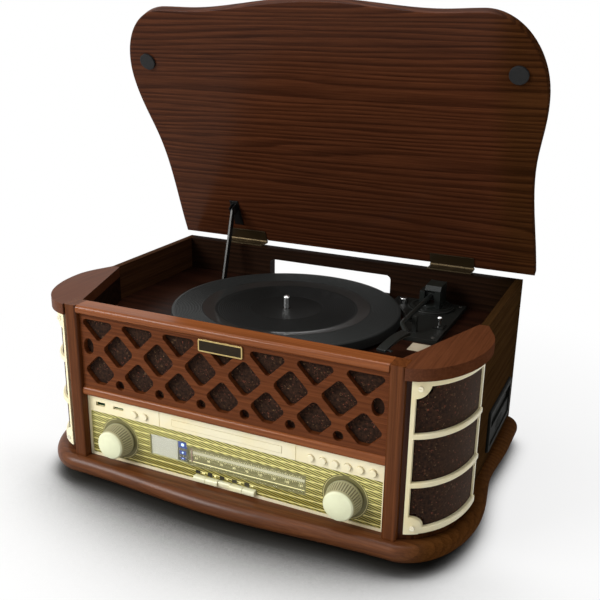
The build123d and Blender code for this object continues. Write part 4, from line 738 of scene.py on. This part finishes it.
def scale():
    """Tuning scale: a pale bar between two rows of ticks and numbers."""
    y = scale_face
    bar_left, bar_right, bar_low, bar_high, bar_gap = -45.0, 88.6, 60.9, 64.1, 0.5
    rule_left, rule_right, rule_low, rule_high = -46.4, 89.4, 51.3, 52.2
    first, pitch, count, half = -42.0, 1.95, 66, 0.2
    number_first, number_pitch, number_size = -38.0, 15.2, 3.5
    upper_z, lower_z = 68.0, 56.4
    bm = bmesh.new()
    thin_plate(bm, bar_left, bar_right, bar_low, bar_high, y)
    piece("scale_bar", bm, "cabinet", finishes["scale_bar"], 0)
    bm = bmesh.new()
    for k in range(count):
        x = first + k * pitch
        tall = 2.2 if k % 4 == 0 else 1.2
        thin_plate(bm, x - half, x + half, bar_high + bar_gap, bar_high + bar_gap + tall, y)
        thin_plate(bm, x - half, x + half, bar_low - bar_gap - tall, bar_low - bar_gap, y)
    thin_plate(bm, rule_left, rule_right, rule_low, rule_high, y)
    piece("scale_ticks", bm, "cabinet", finishes["scale_ink"], 0)
    upper = ("88", "90", "92", "94", "96", "98", "100", "104", "108")
    lower = ("53", "60", "70", "80", "90", "100", "120", "140", "160")
    stops = [number_first + number_pitch * k for k in range(len(upper))]
    numbers("scale_numbers_top", upper, number_size, [(x, upper_z) for x in stops], y)
    numbers("scale_numbers_low", lower, number_size, [(x, lower_z) for x in stops], y)


def key_marks():
    """Pale arrows and blocks over the function keys, the usual signs for play, stop and skip."""
    bm = bmesh.new()
    y = plate_face

    def arrow(x, turn):
        tail, tip, rise = 0.8, 0.9, 1.0
        points = [(x - tail * turn, key_mark_z + rise), (x - tail * turn, key_mark_z - rise),
                  (x + tip * turn, key_mark_z)]
        front = [bm.verts.new(at(px, y - 0.1, pz)) for px, pz in points]
        back = [bm.verts.new(at(px, y, pz)) for px, pz in points]
        bm.faces.new(front)
        bm.faces.new(back[::-1])
        for k in range(3):
            n = (k + 1) % 3
            bm.faces.new((front[k], back[k], back[n], front[n]))

    half = 0.9
    skip_back, stop, play, pause, skip_on = (x + key_sign_shift for x in key_centres)
    arrow(skip_back - half, -1)
    arrow(skip_back + half, -1)
    thin_plate(bm, stop - half, stop + half, key_mark_z - half, key_mark_z + half, y)
    arrow(play, 1)
    for x in (pause - 0.7, pause + 0.7):
        thin_plate(bm, x - 0.35, x + 0.35, key_mark_z - half, key_mark_z + half, y)
    arrow(skip_on - half, 1)
    arrow(skip_on + half, 1)
    piece("key_marks", bm, "cabinet", finishes["scale_ink"], 0)


def screw(name, centre, facing, radius, finish="steel"):
    """A domed cross-slot screw head, seated with its base at centre and facing outwards."""
    profile = [(0.0, radius * 0.42)]
    for k in range(1, 7):
        a = math.pi / 2 * k / 6
        profile.append((radius * math.sin(a), radius * (0.12 + 0.3 * math.cos(a))))
    profile += [(radius, 0.0), (0.0, 0.0)]
    turn = Vector((0, 0, 1)).rotation_difference(Vector(facing)).to_matrix().to_4x4()
    bm = lathe(profile, centre, 24, turn)
    head = piece(name, bm, "cabinet", finishes[finish], 40)
    cut = bmesh.new()
    for wide, tall in ((1.5, 0.3), (0.3, 1.5)):
        made = bmesh.ops.create_cube(cut, size=1.0)
        for vert in made["verts"]:
            spot = Vector((
                vert.co.x * wide * radius * 0.8, vert.co.y * tall * radius * 0.8,
                radius * (0.44 + vert.co.z * 0.3)))
            vert.co = at(*(Vector(centre) + turn.to_3x3() @ spot))
    tool = bpy.data.meshes.new("slot_tool")
    cut.to_mesh(tool)
    cut.free()
    holder = bpy.data.objects.new("slot_tool", tool)
    bpy.context.scene.collection.objects.link(holder)
    carve = head.modifiers.new("slots", "BOOLEAN")
    carve.object = holder
    carve.operation = "DIFFERENCE"
    carve.solver = "EXACT"
    carve.use_self = True
    graph = bpy.context.evaluated_depsgraph_get()
    carved = bpy.data.meshes.new_from_object(head.evaluated_get(graph))
    head.modifiers.clear()
    old = head.data
    head.data = carved
    bpy.data.meshes.remove(old)
    bpy.data.objects.remove(holder)
    bpy.data.meshes.remove(tool)


def rear_fittings():
    """Screws of the rear panel and the jack plate, and the coloured rings of the four sockets."""
    back, plate, socket_rim = 320.3, 2.0, 3.0
    plate_corners = ((69.5, 104.5), (170.5, 104.5), (69.5, 65.5), (170.5, 65.5))
    number = 0
    for x in (-205, -70, 205):
        for z in (48, 196):
            number += 1
            screw(f"rear_screw_{number}", (x, back, z), (0, 1, 0), 3.0, finish="dark_steel")
    for number, (x, z) in enumerate(plate_corners, 1):
        screw(f"plate_screw_{number}", (x, back + plate, z), (0, 1, 0), 2.0)
    turn = Matrix.Rotation(-math.pi / 2, 4, "X")
    number = 0
    for row, finish in ((93.0, "ring_pale"), (77.0, "ring_red")):
        for x in (117.0, 133.0):
            number += 1
            profile = [
                (4.15, 0.0), (5.6, 0.0), (5.7, 0.5), (5.5, 1.5), (5.0, 1.8), (4.2, 1.8), (4.15, 0.0)]
            bm = lathe(profile, (x, back + socket_rim, row), 32, turn)
            piece(f"jack_ring_{number}", bm, "cabinet", finishes[finish], 30)


def plinth_fittings():
    """Screws of the arm plinth, and the thin ring round the foot of the turret."""
    plinth_top = 173.0
    for number, (x, y) in enumerate(((91.0, 293.0), (165.0, 293.0), (164.5, 176.5)), 1):
        screw(f"plinth_screw_{number}", (x, y, plinth_top), (0, 0, 1), 2.2, finish="dark_steel")
    bm = lathe(
        [(21.0, 0.0), (24.6, 0.0), (25.2, 0.35), (25.2, 0.5), (24.4, 0.8), (21.8, 0.8), (21.0, 0.5),
         (21.0, 0.0)], (134.0, 275.0, 176.0), 96)
    piece("turret_ring", bm, "cabinet", finishes["satin_black"], 25)


def paper_patch():
    """A blank paper label on the deck."""
    bm = bmesh.new()
    bar(bm, 146.0, 167.5, 143.0, 165.5, 168.0, 168.12)
    piece("paper_patch", bm, "cabinet", finishes["paper"], 0)


set_camera()
red_dark = ((0.020, 0.0060, 0.0026), (0.052, 0.0155, 0.0062), (0.092, 0.0285, 0.0110))
red_grille = ((0.056, 0.0150, 0.0048), (0.112, 0.0315, 0.0095), (0.175, 0.0530, 0.0160))
red_column = ((0.054, 0.0150, 0.0044), (0.108, 0.0325, 0.0090), (0.175, 0.0560, 0.0165))
side_brown = ((0.026, 0.0105, 0.0042), (0.060, 0.0245, 0.0100), (0.100, 0.0430, 0.0180))
red_ledge = ((0.060, 0.0185, 0.0075), (0.102, 0.0325, 0.0130), (0.150, 0.0500, 0.0205))
red_front = ((0.120, 0.0330, 0.0095), (0.215, 0.0640, 0.0180), (0.310, 0.1000, 0.0300))
red_base = ((0.052, 0.0155, 0.0050), (0.104, 0.0330, 0.0100), (0.160, 0.0540, 0.0170))
near_black = ((0.006, 0.0030, 0.0018), (0.015, 0.0068, 0.0036), (0.028, 0.0120, 0.0065))
deck_brown = ((0.008, 0.0030, 0.0018), (0.022, 0.0078, 0.0042), (0.040, 0.0140, 0.0075))
finishes = {
    "lid": wood("lid_veneer", 0, (-160, 900), red_dark, 0.34, 1.0, 1.3, 7.5, 0.34, 0.2),
    "front": wood("front_wood", 0, (-140, 60), red_front, 0.26, 0.8, 0.4, 5.0, 0.14, 0.5),
    "grille": wood("grille_wood", 0, (-140, 60), red_grille, 0.34, 0.8, 0.4, 5.0, 0.14, 0.2),
    "columns": wood("column_wood", 2, (120, -190), red_column, 0.3, 1.0, 0.5, 9.0, 0.12),
    "base": wood("base_wood", 0, (-60, -60), red_base, 0.46, 1.0, 0.6, 6.5, 0.18, 0.6),
    "ears": wood("ear_wood", 2, (60, -40), red_dark, 0.3, 1.0, 0.6, 6.0, 0.25),
    "ledge": wood("ledge_wood", 1, (60, 120), red_ledge, 0.42, 1.2, 0.3, 12.0, 0.05, 0.3, 0.1),
    "sides": wood("side_wood", 1, (30, -200), side_brown, 0.45, 0.8, 0.8, 14.0, 0.12, 0.04, rear_shade=True),
    "inside": wood("inside_wood", 0, (30, -200), near_black, 0.45, 0.6, 0.8, 8.0, 0.25, 0.12),
    "deck": wood("deck_wood", 0, (60, -100), deck_brown, 0.4, 0.6, 0.7, 7.0, 0.25, 0.2),
    "cloth": speaker_weave(),
    "cream": moulded("cream_plastic", (0.87, 0.79, 0.53), 0.28, 0.4, 0.06, 0.1, 0.2),
    "strip": moulded("strip_plastic", (0.90, 0.83, 0.59), 0.26, 0.3, 0.06, 0.05, 0.3),
    "strip_tray": moulded("tray_plastic", (0.90, 0.83, 0.59), 0.26, 0.3, 0.06, 0.05, 0.2),
    "key": moulded("key_plastic", (0.86, 0.85, 0.60), 0.24, 0.4, 0.05, 0.05, 0.3),
    "knob": knob_plastic(),
    "needle": moulded("needle_rose", (0.36, 0.24, 0.20), 0.4, 0.1, 0.2, 0.1),
    "black": moulded("black_plastic", (0.010, 0.0105, 0.009), 0.36, 0.4, 0.3, 0.6, 0.0, (1, 1, 1), 0.22),
    "side_black": moulded("side_black", (0.009, 0.009, 0.0075), 0.5, 0.4, 0.2, 0.4, 0.0, (1, 1, 1), 0.03),
    "satin_black": moulded("satin_black", (0.012, 0.014, 0.0125), 0.24, 0.5, 0.2, 0.1, 0.1, (1, 1, 1), 0.3),
    "rubber": moulded("black_rubber", (0.014, 0.014, 0.014), 0.62, 0.6, 0.5, 0.8, 0.0, (1, 1, 1), 0.2),
    "board": moulded("board_green", (0.02, 0.09, 0.035), 0.4, 0.3, 0.3, 0.2, 0.1, (1, 1, 0.8)),
    "paper": moulded("blank_paper", (0.50, 0.42, 0.30), 0.7, 0.05, 0.4, 0.8, 0.0, (1, 0.95, 0.85)),
    # The scale bar and print glow partly as the dial's backlight and partly as painted light against the
    # shade of its recess; the key signs share the ink and glow as painted light.
    "scale_bar": lit("scale_white", (0.60, 0.58, 0.40), (0.50, 0.48, 0.32), 0.26, 0.1),
    "scale_ink": lit("scale_ink", (0.95, 0.89, 0.48), (0.82, 0.77, 0.42), 0.55, 0.1),
    "ring_red": moulded("red_ring", (0.35, 0.015, 0.012), 0.35, 0.2, 0.2, 0.1, 0.1, (1, 0.9, 0.9)),
    "ring_pale": moulded("pale_ring", (0.7, 0.68, 0.62), 0.35, 0.2, 0.2, 0.1, 0.1, (1, 0.97, 0.9)),
    "screen": lit("display_grey", (0.60, 0.60, 0.48), (0.52, 0.52, 0.42), 0.06, 0.1),
    "lamp_strip": lit("strip_olive", (0.14, 0.135, 0.08), (0.10, 0.10, 0.06), 0.05, 0.4),
    "lamp_tile": lit("tile_blue", (0.04, 0.075, 0.28), (0.03, 0.05, 0.16), 0.35, 0.4),
    "lamp": lit("lamp_blue", (0.62, 0.78, 1.0), (0.3, 0.4, 0.7), 1.1, 0.6),
    "gold": dial_print(),
    "badge": badge_print(),
    "chrome": metal("bright_plate", (0.78, 0.78, 0.77), 0.08),
    "steel": metal("plain_steel", (0.45, 0.45, 0.44), 0.3, 0),
    "dark_steel": metal("dark_steel", (0.10, 0.095, 0.085), 0.32),
    "stay": metal("blackened_steel", (0.05, 0.05, 0.048), 0.3, 2),
    # Painted shade: the hinge leaves are coloured as dark as the shade of the gap they sit in.
    "hinge": metal("dark_brass", (0.085, 0.062, 0.034), 0.34, 0),
    "brass": metal("aged_brass", (0.52, 0.38, 0.17), 0.25, 0),
    "pale_screw": moulded("screw_cream", (0.82, 0.78, 0.62), 0.26, 0.3, 0.1, 0.1, 0.3),
    "platter": ringed("platter_rubber", (0.006, 0.0065, 0.0062), (-11.5, 15.2), 0.85, 0.42, (83, 97)),
    "glass": clear_sheet(),
}
coats = {
    "lid": ("lid_board",), "front": ("front_rails",), "grille": ("grille_board",),
    "columns": ("front_columns",),
    "base": ("base_plinth",), "ears": ("ear_shells",), "ledge": ("ear_tops",),
    "sides": ("side_panels",), "inside": ("well_walls", "rear_panel"), "deck": ("deck_board",),
    "cream": ("ear_trims",), "strip_tray": ("disc_tray",),
    "key": tuple(f"function_key_{i}" for i in range(1, 6)),
    "needle": ("dial_pointer",),
    "strip": ("fascia_frame", *[f"round_button_{i}" for i in range(1, 9)]),
    "knob": ("volume_knob", "tuning_knob"), "gold": ("dial_panel",), "glass": ("dial_window",),
    "pale_screw": ("trim_screws",), "chrome": ("cue_lever", "speed_knob", "spindle"),
    "steel": ("disc_loader", "drive_motor", "tape_mechanism"),
    "hinge": ("hinge_fixed_leaves", "hinge_lid_leaves"), "brass": ("motor_pulley",),
    "stay": ("stay_bar", "stay_bracket"), "badge": ("badge_plate",),
    "side_black": ("tape_bezel", "tape_flap"),
    "black": ("jack_plate", "speaker_drivers", "arm_plinth"),
    "satin_black": ("arm_turret", "tonearm", "headshell"),
    "rubber": ("rubber_feet", "lid_bumpers", "drive_belt"),
    "board": ("control_board", "power_supply"), "platter": ("platter",),
    "cloth": ("speaker_cloths",),
}
for finish, names in coats.items():
    paint(finishes[finish], *names)
front_cloth()
ear_cloths()
platter_mat()
screen()
scale()
key_marks()
rear_fittings()
plinth_fittings()
paper_patch()

# Studio


def studio():
    """A wide pale floor that fades to white away from the shadow, with a painted shadow in its colour near
    the object and in front of it, and an even white surround.
    """
    bm = bmesh.new()
    half = 30.0
    corners = [bm.verts.new(p) for p in (
        (-half, -half, 0), (half, -half, 0), (half, half, 0), (-half, half, 0))]
    bm.faces.new(corners)
    mesh = bpy.data.meshes.new("floor")
    bm.to_mesh(mesh)
    bm.free()
    floor = bpy.data.objects.new("floor", mesh)
    bpy.context.scene.collection.objects.link(floor)
    finish = Finish("pale_floor", Roughness=0.8, Specular_IOR_Level=0.05)
    x, y, z = finish.xyz()
    away = (x * x + y * y).sqrt().smooth(300.0, 700.0)
    close = finish.node("ShaderNodeAmbientOcclusion", {"samples": 16}, Distance=0.03).outputs["AO"]
    wide = finish.node("ShaderNodeAmbientOcclusion", {"samples": 24}, Distance=0.3).outputs["AO"]
    front = (0.0 - y).smooth(80.0, 190.0)
    # Painted shadow: ambient occlusion darkens the floor's own colour near the object, reaching further in
    # front of it, and there holds back the white glow.
    clear = finish.field(close).smooth(0.35, 0.95) * (
        1 - front * (1 - finish.field(wide).smooth(0.5, 0.97)))
    path = finish.node("ShaderNodeLightPath").outputs
    seen = finish.field(path["Is Camera Ray"]).most(finish.field(path["Is Glossy Ray"])).most(
        finish.field(path["Is Transmission Ray"]))
    finish.set(Base_Color=finish.blend(clear, (0.03, 0.028, 0.024), (0.88, 0.88, 0.87)))
    white = finish.node("ShaderNodeEmission", Color=(1.0, 1.0, 1.0), Strength=1.0).outputs[0]
    share = clear * (0.8 + away * 0.2) * seen
    mix = finish.node("ShaderNodeMixShader", _0=share.clamp())
    finish.tree.links.new(finish.shader.outputs[0], mix.inputs[1])
    finish.tree.links.new(white, mix.inputs[2])
    out = next(n for n in finish.tree.nodes if n.type == "OUTPUT_MATERIAL")
    finish.tree.links.new(mix.outputs[0], out.inputs["Surface"])
    mesh.materials.append(finish.material)
    world = bpy.data.worlds.new("studio_air")
    bpy.context.scene.world = world
    world.use_nodes = True
    tree = world.node_tree
    tree.nodes.clear()
    out = tree.nodes.new("ShaderNodeOutputWorld")
    mix = tree.nodes.new("ShaderNodeMixShader")
    soft = tree.nodes.new("ShaderNodeBackground")
    soft.inputs["Color"].default_value = (1, 1, 1, 1)
    soft.inputs["Strength"].default_value = 0.26
    plain = tree.nodes.new("ShaderNodeBackground")
    plain.inputs["Color"].default_value = (1, 1, 1, 1)
    plain.inputs["Strength"].default_value = 1.0
    path = tree.nodes.new("ShaderNodeLightPath")
    seen = path.outputs["Is Camera Ray"]
    for ray in ("Is Glossy Ray", "Is Transmission Ray"):
        either = tree.nodes.new("ShaderNodeMath")
        either.operation = "MAXIMUM"
        tree.links.new(seen, either.inputs[0])
        tree.links.new(path.outputs[ray], either.inputs[1])
        seen = either.outputs[0]
    tree.links.new(seen, mix.inputs[0])
    tree.links.new(soft.outputs[0], mix.inputs[1])
    tree.links.new(plain.outputs[0], mix.inputs[2])
    tree.links.new(mix.outputs[0], out.inputs["Surface"])
    bpy.context.scene.view_settings.view_transform = "Standard"


studio()
add_lamp("key", (-1.3, -1.5, 1.25), (0, 0, 0.2), (1.1, 1.0), 44)
add_lamp("fill", (1.7, -0.8, 1.0), (0, 0, 0.2), (1.0, 1.2), 3)
add_lamp("top", (-0.1, 0.1, 2.0), (0, 0, 0.2), (1.3, 1.3), 20)
